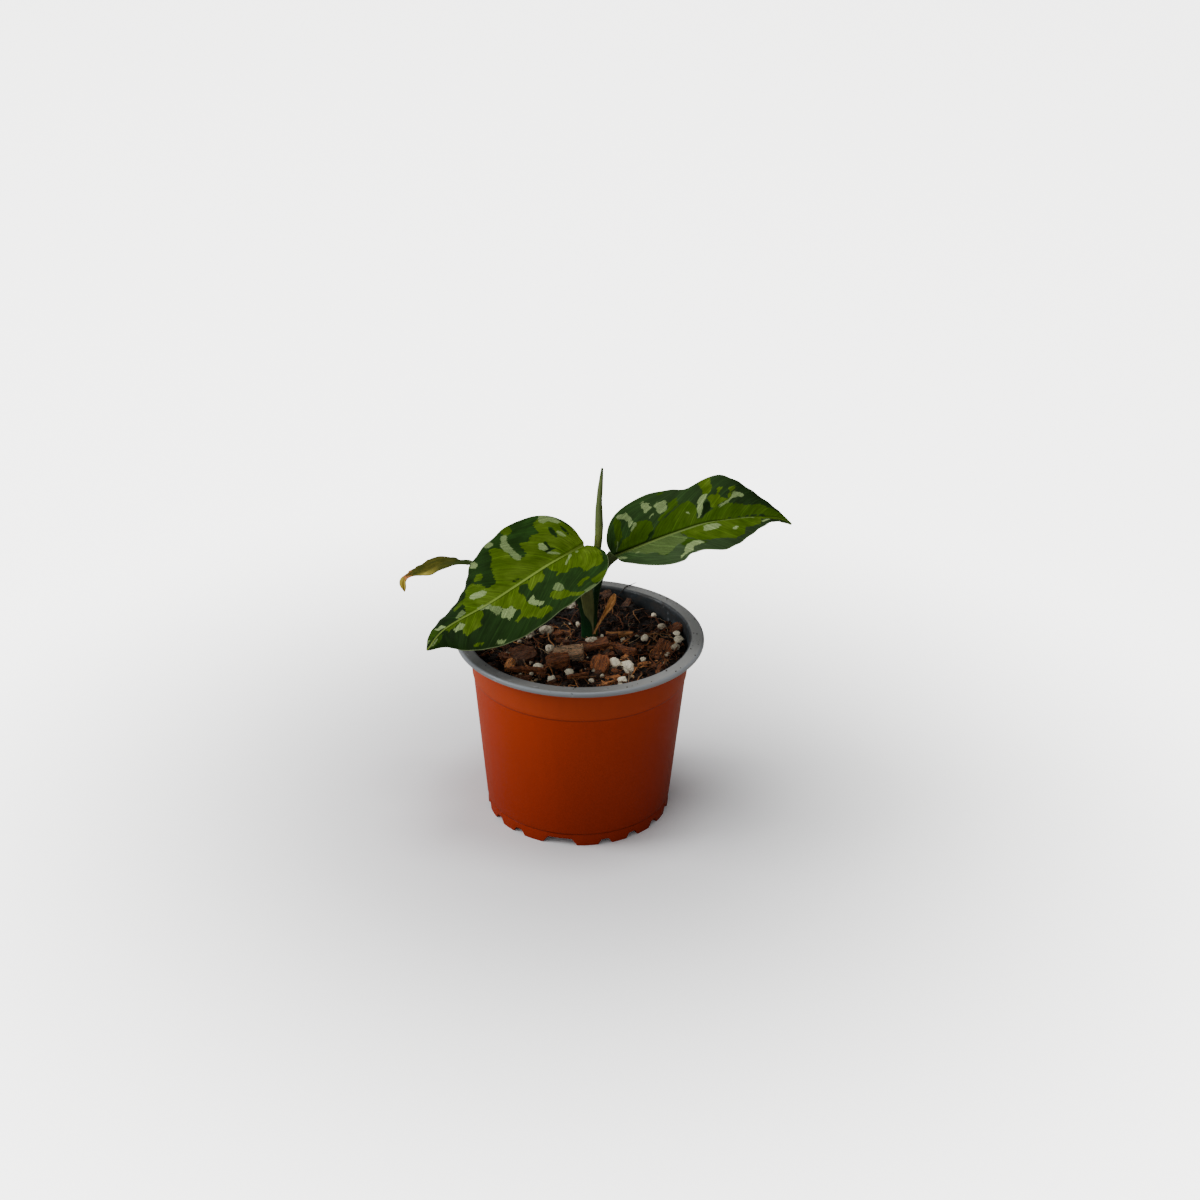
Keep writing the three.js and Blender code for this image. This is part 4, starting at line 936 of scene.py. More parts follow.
RIGHT_PATCHES = {
    "lime": (
        (1, (2.2, 3.6), (2.6, 4.4), (4.2, 4.8), (5.4, 5.6), (6, 7), (6.8, 8.3), (8, 8.7), (9.6, 9),
         (10.2, 8.2), (10.8, 7), (11.2, 6.2), (11, 5), (10, 3.6), (8.6, 2.2), (7.4, 1.2), (2, 0.6),
         (0.6, 1.6)),
        (0.9, (8.8, 1), (10.4, 2.6), (11.4, 4.6), (12.4, 5.8), (13.6, 6.4), (16.2, 8.4), (18, 9.6),
         (20.2, 10.6), (22.2, 11.4), (23, 11.2), (23.6, 9.4), (24.8, 8), (25.2, 6.4), (24.6, 4), (24.6, 2.8),
         (26.4, 2.6), (28.6, 3.6), (31, 4.6), (33, 5.2), (36, 6), (38, 5.4), (40.6, 5), (43, 4.6), (46, 5.6),
         (48, 5.4), (48.4, 3), (48, 1), (40, 0.4), (24, 0.3), (12, 0.3)),
        (0.9, (15.9, 13.2), (17, 13), (18.4, 13.8), (19.3, 13.8), (19, 12), (19.1, 10.4), (18, 10.2),
         (17, 9.4), (16, 8.8), (14.4, 7.6), (13, 6.4), (12.6, 7), (13.2, 8.8), (14.4, 9.2), (15.8, 10)),
        (1.15, (26.6, 16.8), (27, 15.4), (27.2, 14.4), (28.2, 14), (28.4, 13), (28, 11.8), (27.6, 11.3),
         (28.8, 11.5), (30, 11), (31, 11.6), (31.4, 13), (31.7, 14.5), (31.2, 16), (31.3, 18.4), (30, 18.9),
         (28, 18.4), (27, 17.6)),
        (1.15, (29.3, 9.4), (30, 10.3), (31.6, 10.1), (33.4, 10.2), (33.8, 9), (33.6, 8.2), (34.6, 8),
         (36, 7.8), (36.2, 9.4), (36.8, 10.6), (36.4, 12), (37, 12.6), (38.6, 12.6), (38.8, 11.6),
         (38, 10.6), (37.4, 10), (37.6, 8.6), (37, 7.8), (36, 6.8), (33.5, 5.8), (31, 5), (30.5, 5.4),
         (30.5, 7), (29.8, 8.2)),
        (1.3, (33.1, 12.2), (33.8, 12.8), (34.6, 12.6), (35.2, 12.9), (34.8, 12.2), (34, 11.6), (33.7, 10.6),
         (33.3, 10.4), (33.2, 11.4)),
        (0.6, (13.8, 17.6), (14.4, 18.6), (15.6, 18.6), (15.6, 17.6), (14.6, 17.2)),
        (0.85, (47.5, 0.5), (48, 4.6), (50.5, 4.8), (53, 3.6), (56, 2.6), (60, 1.4), (63.5, 0.4), (60, -0.3),
         (54, -0.8), (50, -0.4)),
        (0.85, (46.5, -3.4), (46.2, -1), (50, -0.6), (55, -0.8), (59, -1), (56, -2.2), (52, -3.6),
         (49, -3.2)),
        (0.8, (0.6, 2.6), (1.2, 5.4), (1.6, 9), (2.4, 12), (3.2, 13), (3.8, 11), (3.4, 7.6), (2.6, 4.8)),
        (0.5, (2, 0.6), (17, 0.6), (19, -5), (20.5, -7), (23, -9), (26, -11.6), (29, -13.6), (27, -13.8),
         (25, -12), (22.5, -10.4), (20.4, -10.8), (19.2, -11.8), (18.2, -10.8), (17.4, -9.2), (16.5, -8.6),
         (15.6, -9.4), (14.6, -11), (13.8, -12.2), (12.6, -13.4), (11.6, -13), (10.4, -11), (9.8, -9),
         (9, -8), (7.4, -8.4), (6.6, -6.2), (5, -4.6), (3, -1)),
        (0.95, (17.5, 0.5), (20, -5.6), (22, -8.2), (24.6, -10.4), (27, -11.8), (30, -12.4), (33, -12.6),
         (36, -12.6), (38, -13.6), (39.4, -12.4), (40.8, -11.4), (41, -9), (41, -8), (43, -7.8), (46, -7.8),
         (46.4, -6), (46.4, -3.4), (46.6, -1), (46, 0.5)),
    ),
    "dark": (
        (1, (8.2, 1.4), (9, 1.5), (10.4, 3), (10.9, 4.2), (9.8, 3.9), (9, 3.1)),
        (1, (26.2, 3), (27, 4.4), (27.4, 5.8), (27.4, 7.4), (28.4, 8.2), (29.6, 8), (30.4, 6.8), (30.2, 5.2),
         (29.4, 4.2), (28, 3.6)),
    ),
    "silver": (
        (0.85, (3.4, 13.2), (4, 13.8), (5, 13.2), (5.8, 13.8), (6.1, 12.2), (6.6, 10.8), (6.5, 9.4),
         (6, 8.6), (5.9, 7.8), (5.3, 7.6), (5.1, 8.6), (5.4, 10), (5, 11.4), (4, 12), (3.5, 12.4)),
        (0.9, (5.1, 6.4), (5.8, 7.7), (6.9, 9), (7.2, 8), (6.4, 6.9), (5.7, 6.2)),
        (0.85, (9.3, 15), (9.9, 16), (10.3, 16.4), (10.7, 15.8), (11.5, 15.6), (11.7, 14.4), (11.6, 13.6),
         (12, 13), (11.6, 12.2), (10.6, 11.6), (10.2, 11.1), (9.8, 11.6), (10, 12.6), (9.6, 13.8)),
        (0.9, (12.4, 13), (13.6, 14.2), (14.6, 14.3), (15.6, 14.4), (15.9, 12.8), (15.8, 10.4), (14.6, 9.4),
         (13.6, 9.1), (13.2, 10.2), (12.8, 11.6)),
        (0.8, (10.4, 8.7), (10.8, 9.3), (11.6, 10.1), (12, 10.3), (11.3, 9.4), (10.7, 8.7)),
        (0.6, (0.3, 1.6), (1, 3), (1.5, 4.7), (1.8, 4.4), (1.3, 2.9), (0.6, 1.6)),
        (1.3, (20.9, 6.4), (21.3, 6.9), (21.8, 6.4), (22.3, 6), (22.2, 5.5), (21.7, 5.4), (21.4, 6)),
        (0.9, (24.4, 2.8), (25, 3.6), (25, 5.6), (25.3, 7.4), (25.6, 9), (26.4, 10.2), (27.4, 11.2),
         (28.6, 11.3), (29.8, 11), (29.2, 9.6), (28.4, 8.8), (28, 8.2), (27.3, 7.6), (27.4, 6.4),
         (26.8, 4.8), (26.2, 3.8), (25.4, 3)),
        (0.85, (37.4, 8.2), (37.7, 9.6), (38.4, 10.3), (39.2, 10.2), (40, 9.8), (40.8, 9.4), (40.8, 8.6),
         (40, 8), (38.6, 7.9), (37.4, 7.6), (36.8, 7), (36.2, 6.2), (35.4, 5.6), (34, 5.1), (33, 4.8),
         (33.2, 5.6), (34.6, 6.4), (36, 7)),
        # A faint grey wash over the foot of the blade's near half: painted sheen.
        (0.28, (2, 0.5), (12, 0.5), (17, -0.2), (18.8, -4.4), (20.6, -7), (17.4, -9.2), (15.6, -9.4),
         (13.8, -12.2), (11.6, -13), (9.8, -9), (7.4, -8.4), (5, -4.6), (3, -1.6)),
        (1, (26.6, -1.7), (28, -1.4), (30.4, -1.5), (32, -1.7), (33, -2.8), (33.4, -4.4), (32.6, -4.9),
         (32.3, -6.2), (30, -6.2), (28, -6.2), (27.2, -5.4), (26.9, -3.8)),
        (1.2, (37.2, -6.6), (38, -6.4), (38.7, -6.8), (38.6, -7.6), (37.9, -8.3), (37.2, -8)),
        (1, (46.6, -4.8), (48, -4.2), (49.4, -3.6), (50.4, -4), (50.2, -4.9), (48.6, -5.4), (47.2, -6.2),
         (46.7, -5.8)),
        (1, (16.6, -16.8), (18.8, -15.6), (18.8, -13.8), (19.6, -12.4), (20.2, -11), (23, -10.4),
         (25.2, -11.2), (27.6, -13.4), (25.8, -13.9), (23.2, -13.6), (22.8, -16), (18.8, -17),
         (16.8, -17.6)),
        (1, (7.9, -0.4), (8.9, -0.9), (10.3, -2.6), (11, -4.9), (10, -4.9), (8.9, -3), (8, -1.4)),
        (0.9, (4.2, -0.9), (5.8, -2.4), (7, -4.8), (7.2, -6.6), (6, -5.8), (4.9, -5), (4.8, -3)),
        (0.8, (0.5, -1.5), (2, -3.3), (3.1, -6), (2.1, -6), (0.9, -3.8), (0.2, -2.4)),
        (0.6, (38, 0), (41, 0), (43.5, -0.6), (43.8, -1.8), (42.6, -1.2), (40, -0.9)),
    ),
}


def along(values, share):
    """A smooth curve through values at even stations, read at shares from 0 to 1."""
    values = np.asarray(values, float)
    last = len(values) - 1
    ends = [2 * values[0] - values[1]], [2 * values[-1] - values[-2]]
    padded = np.concatenate([ends[0], values, ends[1]])
    at = np.clip(share, 0, 1) * last
    i = np.minimum(at.astype(int), last - 1)
    f = at - i
    if values.ndim > 1:
        f = f[..., None]
    a, b, c, d = padded[i], padded[i + 1], padded[i + 2], padded[i + 3]
    slope_in, slope_out = (c - a) / 2, (d - b) / 2
    rise = 3 * (c - b) - 2 * slope_in - slope_out
    return b + f * (slope_in + f * (rise + f * (2 * (b - c) + slope_in + slope_out)))


def heading_on(path, share):
    step = 1e-3
    middle = np.clip(share, step, 1 - step)
    return unit(along(path, middle + step) - along(path, middle - step))


def point_on(path, share):
    """A point of the curve. Past its foot it runs straight on."""
    step = 1e-3
    foot_slope = (along(path, np.array([step])) - along(path, np.array([0.0]))) / step
    return along(path, share) + np.minimum(share, 0)[..., None] * foot_slope


def blade_points(leaf, row, across):
    """Points of a blade's middle surface, and the same places on the flattened blade."""
    def by_side(name):
        return np.where(across >= 0, along(leaf[name][0], row), along(leaf[name][1], row))

    out = np.abs(across)
    lobe = np.where(across >= 0, *leaf["lobe"])
    share = row * row * (2 - row) - lobe * 4 * row * (1 - row) ** 3 * out
    half = np.maximum(by_side("half"), 0)
    fold = np.radians(by_side("fold"))
    heading = heading_on(leaf["midrib"], share)
    if "sideways" in leaf:
        level = unit(leaf["sideways"] - (heading @ leaf["sideways"])[..., None] * heading)
    else:
        level = unit(np.cross([0, 0, 1], heading))
    upright = np.cross(heading, level)
    roll = np.radians(along(leaf["roll"], share))[..., None]
    side = level * np.cos(roll) + upright * np.sin(roll)
    up = upright * np.cos(roll) - level * np.sin(roll)
    rise = out * np.sin(fold) + ARCH * out * (1 - out)
    points = point_on(leaf["midrib"], share)
    points += side * (half * across * np.cos(fold))[..., None] + up * (half * rise)[..., None]
    return points, np.stack([share * leaf["length"], half * across], -1), half


def inside_by(places, outline):
    """How far in millimetres each place lies inside an outline. Outside it is negative."""
    a = np.asarray(outline, float)
    b = np.roll(a, -1, axis=0)
    edge, offset = b - a, places[:, None] - a
    share = np.clip((offset * edge).sum(-1) / (edge * edge).sum(-1), 0, 1)
    distance = np.linalg.norm(offset - share[..., None] * edge, axis=-1).min(1)
    x, y = places[:, :1], places[:, 1:]
    rise = np.where(edge[:, 1] == 0, 1e-9, edge[:, 1])
    crossed = ((a[:, 1] > y) != (b[:, 1] > y)) & (x < edge[:, 0] * (y - a[:, 1]) / rise + a[:, 0])
    return np.where(crossed.sum(1) % 2 == 1, distance, -distance)


def patch_depth(places, patches):
    """The depth inside the nearest patch of a kind, and that patch's strength."""
    depths = np.array([inside_by(places, outline) for _, *outline in patches])
    return depths.max(0), np.array([patch[0] for patch in patches])[depths.argmax(0)]


def blade_grid(leaf, rows, columns, first, last, thickness, relief):
    """The upper and lower faces of a blade as one closed body, with what its places are."""
    row, across = np.meshgrid(np.linspace(first, last, rows), np.linspace(-1, 1, columns), indexing="ij")
    middle, flat, half = blade_points(leaf, row, across)
    normals = unit(np.cross(np.gradient(middle, axis=0), np.gradient(middle, axis=1)))
    upper, lower = relief(flat, half, row, across)
    edge = thickness * (1 - 0.65 * np.abs(across) ** 8)
    top = middle + normals * (edge / 2 + upper)[..., None]
    bottom = middle - normals * (edge / 2 + lower)[..., None]
    points = np.concatenate([top.reshape(-1, 3), bottom.reshape(-1, 3)])
    cells = np.arange(rows * columns).reshape(rows, columns)
    a, below = cells[:-1, :-1].ravel(), cells.size
    faces = np.stack([a, a + columns, a + columns + 1, a + 1], -1).tolist()
    faces += np.stack([a + below, a + below + 1, a + below + columns + 1, a + below + columns], -1).tolist()
    ring = np.concatenate([cells[:, 0], cells[-1, 1:], cells[-2::-1, -1], cells[0, -2:0:-1]]).tolist()
    faces += [[b, a, a + below, b + below] for a, b in zip(ring, ring[1:] + ring[:1])]
    return points, faces, flat.reshape(-1, 2), half.ravel(), across.ravel(), row.ravel()


def vein_line(flat, length):
    """The same number all along one side vein: the veins leave the midrib and bow forward."""
    out = np.abs(flat[..., 1])
    bow = smooth_step(flat[..., 0], -4, 0.3 * length)
    return flat[..., 0] - out * (0.25 + (0.35 + 0.022 * out) * bow)


def leaf_relief(leaf):
    def relief(flat, half, row, across):
        station = flat[..., 0] / leaf["length"]
        rib = flat[..., 1] - along(leaf["rib_line"], station)
        slim = 1 - 0.75 * np.clip(station, 0, 1)
        vein = vein_line(flat, leaf["length"])
        swell = 0.5 - 0.5 * np.cos(vein * 2 * math.pi / VEIN_SPACING)
        body = smooth_step(half * (1 - np.abs(across)), 0, 5) * smooth_step(np.abs(rib), 0.4, 3)
        quilt = leaf["quilt"] * (np.sqrt(swell) - 0.6) * body
        channel = -0.4 * slim * np.exp(-((rib / (0.55 * slim)) ** 2))
        banks = 0.16 * slim * np.exp(-(((np.abs(rib) - 1.2 * slim) / 0.6) ** 2))
        ruffle = np.sin(vein * 2 * math.pi / RUFFLE_SPACING + 1.3 * np.sign(across))
        wave = RUFFLE_HEIGHT * np.abs(across) ** 5 * ruffle * (1 - row)
        keel = 0.85 * slim * np.exp(-((rib / (0.8 * slim + 0.1)) ** 2))
        upper = quilt + channel + banks + wave
        return upper, keel - 0.6 * quilt - wave
    return relief


def variegated_leaf(name, node, leaf, patches):
    shape = blade_grid(leaf, *BLADE_GRID, *BLADE_ENDS, BLADE_THICKNESS, leaf_relief(leaf))
    points, faces, flat, half, across, _ = shape
    lime, lime_strength = patch_depth(flat, patches["lime"])
    silver, silver_strength = patch_depth(flat, patches["silver"])
    dark, _ = patch_depth(flat, patches["dark"])
    rib = flat[:, 1] - along(leaf["rib_line"], flat[:, 0] / leaf["length"])
    fading = np.interp(flat[:, 0], [2, 16, leaf["length"]], [0.5, 1, 0])
    values = {
        "flat": np.stack([flat[:, 0], rib, vein_line(flat, leaf["length"])], -1),
        "lime": np.minimum(lime, -dark),
        "lime_strength": lime_strength,
        "deep": np.interp(rib, [-0.8, 0.8], leaf["lime_shade_by_half"]),
        "rib_width": np.full(len(flat), leaf["rib_width"]),
        "painted_sheen": np.interp(rib, [-0.8, 0.8], leaf["painted_sheen"]) * fading * (dark < 0),
        "deep_dark": smooth_step(dark, -0.1, 0.3),
        "silver": silver,
        "silver_strength": silver_strength,
        "margin": half * (1 - np.abs(across)),
    }
    values = {label: np.concatenate([data, data]) for label, data in values.items()}
    values["underside"] = np.repeat([0.0, 1.0], len(flat))
    add_piece(name, points, faces, "variegated_leaf", node, values, LEAF_SKIN)


def side_vein_lines():
    """Veins by the vein number: the main side veins, and the fine threads between them."""
    sockets = dict.fromkeys(("Vein", "Rib", "Spacing"), "Float")
    group, given, result = effect_group("side_veins", sockets, ["Main", "Threads", "Fine"])
    main = calc("PINGPONG", plus(given["Vein"], 60), times(given["Spacing"], 0.5))
    place = add_node("CombineXYZ", {"X": given["Vein"], "Y": times(given["Rib"], 0.09)})[0]
    wander = times(cloud(place, 0.9), 1.6)
    fine = calc("PINGPONG", plus(plus(given["Vein"], wander), 60), 0.85)
    threads = cloud(place, 2.2, 3, 0.6)
    feed(result, Main=between(main, 0.28, 0.02), Threads=threads, Fine=between(fine, 0.16, 0.02))
    return group


SIDE_VEINS = side_vein_lines()


def leaf_skin():
    made, tree, shader = new_material("variegated_leaf_skin", 0.5, 0.02)

    def value(label):
        return carried(tree, label)

    flat = carried(tree, "flat", "Vector")
    axes = axes_of(flat)
    numbers = {"Vein": axes["Z"], "Rib": axes["Y"], "Spacing": VEIN_SPACING}
    veins = add_node("Group", numbers, node_tree=SIDE_VEINS)
    slanted = add_node("CombineXYZ", {"X": axes["Z"], "Y": times(axes["Y"], 0.42)})[0]
    cells = add_node("TexVoronoi", {"Vector": slanted, "Scale": 1.25})["Color"]
    step = add_node("SeparateColor", {0: cells})[0]
    fray = cloud(slanted, 3.2, 3, 0.6)
    jag = plus(times(minus(step, 0.5), 0.62), times(minus(fray, 0.5), 0.7))
    lime = between(plus(value("lime"), jag), -PATCH_EDGE, PATCH_EDGE)
    silver = between(plus(value("silver"), times(jag, 0.75)), -PATCH_EDGE, PATCH_EDGE)
    blotch = cloud(flat, 0.16, 3)
    speckle = cloud(flat, 2.6, 2, 0.7)

    dark_skin = mixed(between(blotch, 0.32, 0.68), (20, 40, 7), (30, 55, 16))
    # The dark green is painted lighter at the foot and darker towards the tip: painted sheen and shade.
    dark_skin = toned(dark_skin, between(axes["X"], 0, 52, 1.3, 0.6))
    # The dark green and the midrib are greyed on one half of each blade, fading towards the tip: painted
    # sheen.
    dark_skin = mixed(value("painted_sheen"), dark_skin, (66, 80, 54))
    dark_skin = toned(dark_skin, between(value("deep_dark"), 0, 1, 1, 0.5))
    lime_skin = mixed(between(blotch, 0.35, 0.7), (62, 84, 7), (82, 103, 26))
    lime_skin = mixed(between(value("lime_strength"), 0.4, 1), (39, 62, 8), lime_skin)
    # The lime is darkened half by half, each half of a blade by its own amount, except in the brightest
    # patches: painted shade.
    deep = times(value("deep"), between(value("lime_strength"), 1.05, 1.2, 1, 0.1))
    lime_skin = mixed(deep, lime_skin, (40, 66, 10))
    silver_skin = mixed(between(speckle, 0.3, 0.7), (100, 118, 70), (132, 149, 98))
    skin = layered(dark_skin, (lime, lime_skin), (times(silver, value("silver_strength")), silver_skin))
    thread_tone = between(veins["Threads"], 0.3, 0.7, 0.78, 1.2)
    lines = minus(times(veins["Main"], 0.5), times(veins["Fine"], 0.22))
    skin = toned(toned(skin, thread_tone), plus(1, lines))

    slim = times(between(axes["X"], 0, 66, 1, 0.35), value("rib_width"))
    rib_line = between(calc("ABSOLUTE", axes["Y"]), times(slim, 0.75), times(slim, 0.5))
    # A dark line along one side of the midrib: painted shade in its channel.
    groove = between(calc("ABSOLUTE", minus(axes["Y"], times(slim, 1.05))), 0.4, 0.1)
    rib_skin = mixed(value("painted_sheen"), (122, 142, 60), (90, 104, 84))
    skin = layered(
        skin,
        (times(groove, 0.55), (24, 40, 6)),
        (times(rib_line, between(axes["X"], 8, 56, 0.85, 0.6)), rib_skin),
        (between(value("margin"), 0.34, 0.12, 0, 0.6), (140, 156, 110)),
    )
    pale = layered(mixed(lime, (58, 82, 42), (98, 116, 54)), (times(silver, 0.6), (124, 136, 100)))
    pale_veins = times(veins["Main"], 0.35)
    pale = layered(toned(pale, thread_tone), (rib_line, (160, 178, 104)), (pale_veins, (160, 178, 120)))
    skin = mixed(value("underside"), skin, pale)
    gloss = plus(plus(0.46, times(speckle, 0.12)), times(silver, 0.1))
    gloss = plus(gloss, times(value("underside"), 0.2))
    height = minus(plus(veins["Threads"], times(speckle, 0.5)), times(veins["Main"], 0.5))
    feed(shader, Base_Color=skin, Roughness=gloss, Normal=bumped(height, 0.22, 0.0003))
    return made


LEAF_SKIN = leaf_skin()
variegated_leaf("leaf_blade_front", "leaf_front", FRONT_LEAF, FRONT_PATCHES)
variegated_leaf("leaf_blade_right", "leaf_right", RIGHT_LEAF, RIGHT_PATCHES)


# The withered leaf: a small dull blade at the far left that has dried from its tip. Its upper
# margin is bitten in teeth, its lower one is yellow, and its tip hangs down, curled shut.
WITHERED_LEAF = {
    "midrib": ((-39.4, 9.6, 92.2), (-47.6, 9.7, 92.2), (-55.4, 10.3, 89.5), (-61.1, 10.4, 87.2),
               (-64.1, 10, 84.5), (-64.1, 9.9, 79.8)),
    "sideways": np.array((0, -1, 0)),
    "roll": (4.5, 0, -5, -3, -8, -40, -70),
    "half": ((0, 3.6, 5.4, 6.8, 5.6, 2.6, 1.35, 1.85, 0),) * 2,
    "lobe": (0, 0),
    "fold": ((-4, 12, 12, 0, -8, 10, 25), (11, -14, -12, 3, 14, 20, 25)),
    "length": 32,
}
TEETH = (0.53, 0.63, 0.71)
TOOTH_HEIGHT = 0.55


def withered_relief(flat, half, row, across):
    wrinkle = ripple(flat.reshape(-1, 2) * [0.6, 1], 3.2, 31).reshape(row.shape)
    crease = ripple(flat.reshape(-1, 2) * [0.25, 1], 1.4, 32).reshape(row.shape)
    bend = (0.16 * wrinkle + 0.06 * crease) * smooth_step(half, 0.8, 4)
    keel = 0.28 * np.exp(-((flat[..., 1] / 0.6) ** 2)) * (1 - row)
    return bend, keel - bend


def withered_material():
    made, tree, shader = new_material("withered_leaf_skin", 0.6, 0.04)
    flat = carried(tree, "flat", "Vector")
    axes = axes_of(flat)
    blotch = cloud(flat, 0.35, 4, 0.6)
    threads = cloud(stretched(flat, (0.3, 2.2, 1)), 1.1, 3, 0.6)
    foot = times(between(axes["X"], 9, 1), 0.75)
    yellow = times(between(axes["Y"], 1.4, 5.2), between(axes["X"], 8, 14))
    burnt = times(between(axes["X"], 18.5, 21), between(axes["X"], 26, 23.5))
    tip = between(axes["X"], 23.5, 26)
    stripe = times(tip, between(calc("ABSOLUTE", axes["Y"]), 0.6, 0.15, 0, 0.8))
    edge = times(between(axes["Z"], 0.55, 0.1), between(axes["X"], 21, 16, 0, 0.4))
    skin = layered(
        mixed(between(blotch, 0.3, 0.7), (54, 58, 14), (78, 74, 20)),
        (foot, (34, 58, 22)),
        (yellow, (160, 146, 62)),
        (times(burnt, between(blotch, 0.35, 0.6)), (168, 104, 62)),
        (tip, (164, 148, 56)),
        (stripe, (100, 66, 16)),
        (edge, (60, 44, 16)),
    )
    skin = toned(skin, between(threads, 0.3, 0.7, 0.8, 1.15))
    feed(shader, Base_Color=skin, Normal=bumped(threads, 0.5, 0.0004))
    return made


def with_margin(flat, half, across):
    """The flattened places of both faces, each with how far in from the margin it is."""
    places = np.stack([flat[:, 0], flat[:, 1], half * (1 - np.abs(across))], -1)
    return np.concatenate([places, places])


def withered_leaf():
    rows, columns = 170, 61
    shape = blade_grid(WITHERED_LEAF, rows, columns, 0.02, 0.992, thickness=0.36, relief=withered_relief)
    points, faces, flat, half, across, row = shape
    teeth = np.zeros(len(row))
    for tooth in TEETH:
        teeth += np.clip(1 - (tooth - row) / 0.09, 0, 1) * smooth_step(row, tooth + 0.012, tooth)
    jut = TOOTH_HEIGHT * teeth * np.clip(-across, 0, 1) ** 3
    sideways = unit(np.gradient(points.reshape(2, rows, columns, 3), axis=2)).reshape(-1, 3)
    points = points - sideways * np.tile(jut[:, None], (2, 1))
    values = {"flat": with_margin(flat, half, across)}
    add_piece("withered_leaf", points, faces, "withered_leaf", "leaf_left", values, withered_material())


withered_leaf()


# The stem and stalks: a short green cane in the mix, and from it three stalks whose feet
# sheathe it. The front one is pale and broad, and the other two are thin and nearly black.
STEM_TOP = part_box("stem")[1].z / MM
STEM_RADIUS = 2.2
STEM_LENGTH = 16
FRONT_STALK = {
    "path": ((4.5, 5.6, 64.5), (3.9, 5.2, 70.6), (3.1, 4.7, 76), (2.4, 3.4, 83), (2.2, 1.7, 93),
             (2, 0.5, 101.4), (0.9, -0.3, 102.9), (-1.6, -2.2, 102.6)),
    "across": (0.6, 1.1, 1.95, 2.2, 1.3, 0.9, 0.7, 0.35),
    "through": (0.8, 0.6, 0.6, 0.7, 0.9, 0.8, 0.6, 0.3),
}
RIGHT_STALK = {
    "path": ((5.3, 6.4, 64.5), (5.1, 6.4, 72.5), (5.3, 6.5, 80), (6.5, 6.5, 87), (8.8, 6.7, 93.6),
             (11.8, 6.9, 97.6)),
    "across": (1.2, 1.15, 1.35, 1.35, 1.7, 2.3),
    "through": (1.5, 1.1, 1.1, 1.1, 1.1, 1.1),
}
LEFT_STALK = {
    "path": ((2.6, 5.2, 64.5), (2.3, 5.2, 70.4), (0.7, 6, 75.9), (-2.4, 7.5, 81.4), (-12.6, 8.9, 89.4),
             (-26, 9.6, 92.6), (-40.5, 9.6, 92.2)),
    "across": (2.2, 2, 1.2, 0.95, 1, 0.85, 0.75),
    "through": (1.5, 1.2, 1, 1, 1, 0.8, 0.55),
}


def loft(stalk, steps, sides, section):
    """A body along a curve, with a section that may have a groove or a seam."""
    share = np.linspace(0, 1, steps)
    heading = heading_on(stalk["path"], share)
    across = unit(np.cross([0, 1, 0], heading))
    through = np.cross(heading, across)
    angles = np.arange(sides) * 2 * math.pi / sides
    around, up = np.meshgrid(angles, share)
    reach = section(around, up)
    wide = along(stalk["across"], share)[:, None] * np.cos(angles) * reach
    deep = along(stalk["through"], share)[:, None] * np.sin(angles) * reach
    rings = along(stalk["path"], share)[:, None] + across[:, None] * wide[..., None]
    rings += through[:, None] * deep[..., None]
    points = np.concatenate([rings.reshape(-1, 3), along(stalk["path"], np.array([0.0, 1.0]))])
    places = np.stack([np.cos(around), np.sin(around), up], -1).reshape(-1, 3)
    return points, closed_faces(steps, sides), np.concatenate([places, [[0, 0, 0], [0, 0, 1]]])


def grooved(around, up):
    """A shallow channel down the side of a stalk that faces the stem, deepest at its foot."""
    off = np.abs((around - math.pi / 2 + math.pi) % (2 * math.pi) - math.pi)
    groove = 0.34 * (1 - 0.7 * up) * np.exp(-((off / 0.55) ** 2))
    return 1 - groove + 0.035 * np.sin(around * 7) * np.exp(-((off - 1.6) ** 2))


def stalk_material(name, foot, middle, neck, edge):
    made, tree, shader = new_material(name, 0.5, 0.15)
    place = carried(tree, "stalk", "Vector")
    axes = axes_of(place)
    threads = cloud(stretched(place, (7, 7, 2.5)), 2, 4, 0.6)
    blotch = cloud(stretched(place, (1, 1, 5)), 1.2, 3)
    skin = layered(
        mixed(between(axes["Z"], 0.02, 0.3), foot, middle),
        (between(axes["Z"], 0.55, 0.95), neck),
        (between(axes["X"], 0.6, 0.98, 0, 0.6), edge),
    )
    tone = times(between(threads, 0.3, 0.7, 0.82, 1.16), between(blotch, 0.3, 0.7, 0.88, 1.1))
    feed(shader, Base_Color=toned(skin, tone), Normal=bumped(threads, 0.35, 0.0003))
    return made


def stem_profile():
    foot = STEM_TOP - STEM_LENGTH
    lower = [(0, foot), (STEM_RADIUS - 0.4, foot), (STEM_RADIUS - 0.1, foot + 2)]
    scars = []
    for scar in (foot + 8.4, STEM_TOP - 2.4, STEM_TOP - 0.9):
        scars += [(STEM_RADIUS + out, scar + up) for out, up in ((-0.12, -0.5), (0.02, 0), (-0.14, 0.35))]
    top = [(STEM_RADIUS - 0.5, STEM_TOP), (STEM_RADIUS - 1.2, STEM_TOP + 0.4), (0, STEM_TOP + 0.6)]
    return lower + scars + top


def stem():
    points, faces = turned(stem_profile(), 48)
    height = (points[:, 2] - STEM_TOP + STEM_LENGTH) / STEM_LENGTH
    values = {"stalk": np.stack([points[:, 0] / 2, points[:, 1] / 2, height], -1)}
    add_piece("stem_cane", points + [*STEM_AT, 0], faces, "green_stem", "stem", values, DARK_STALK)


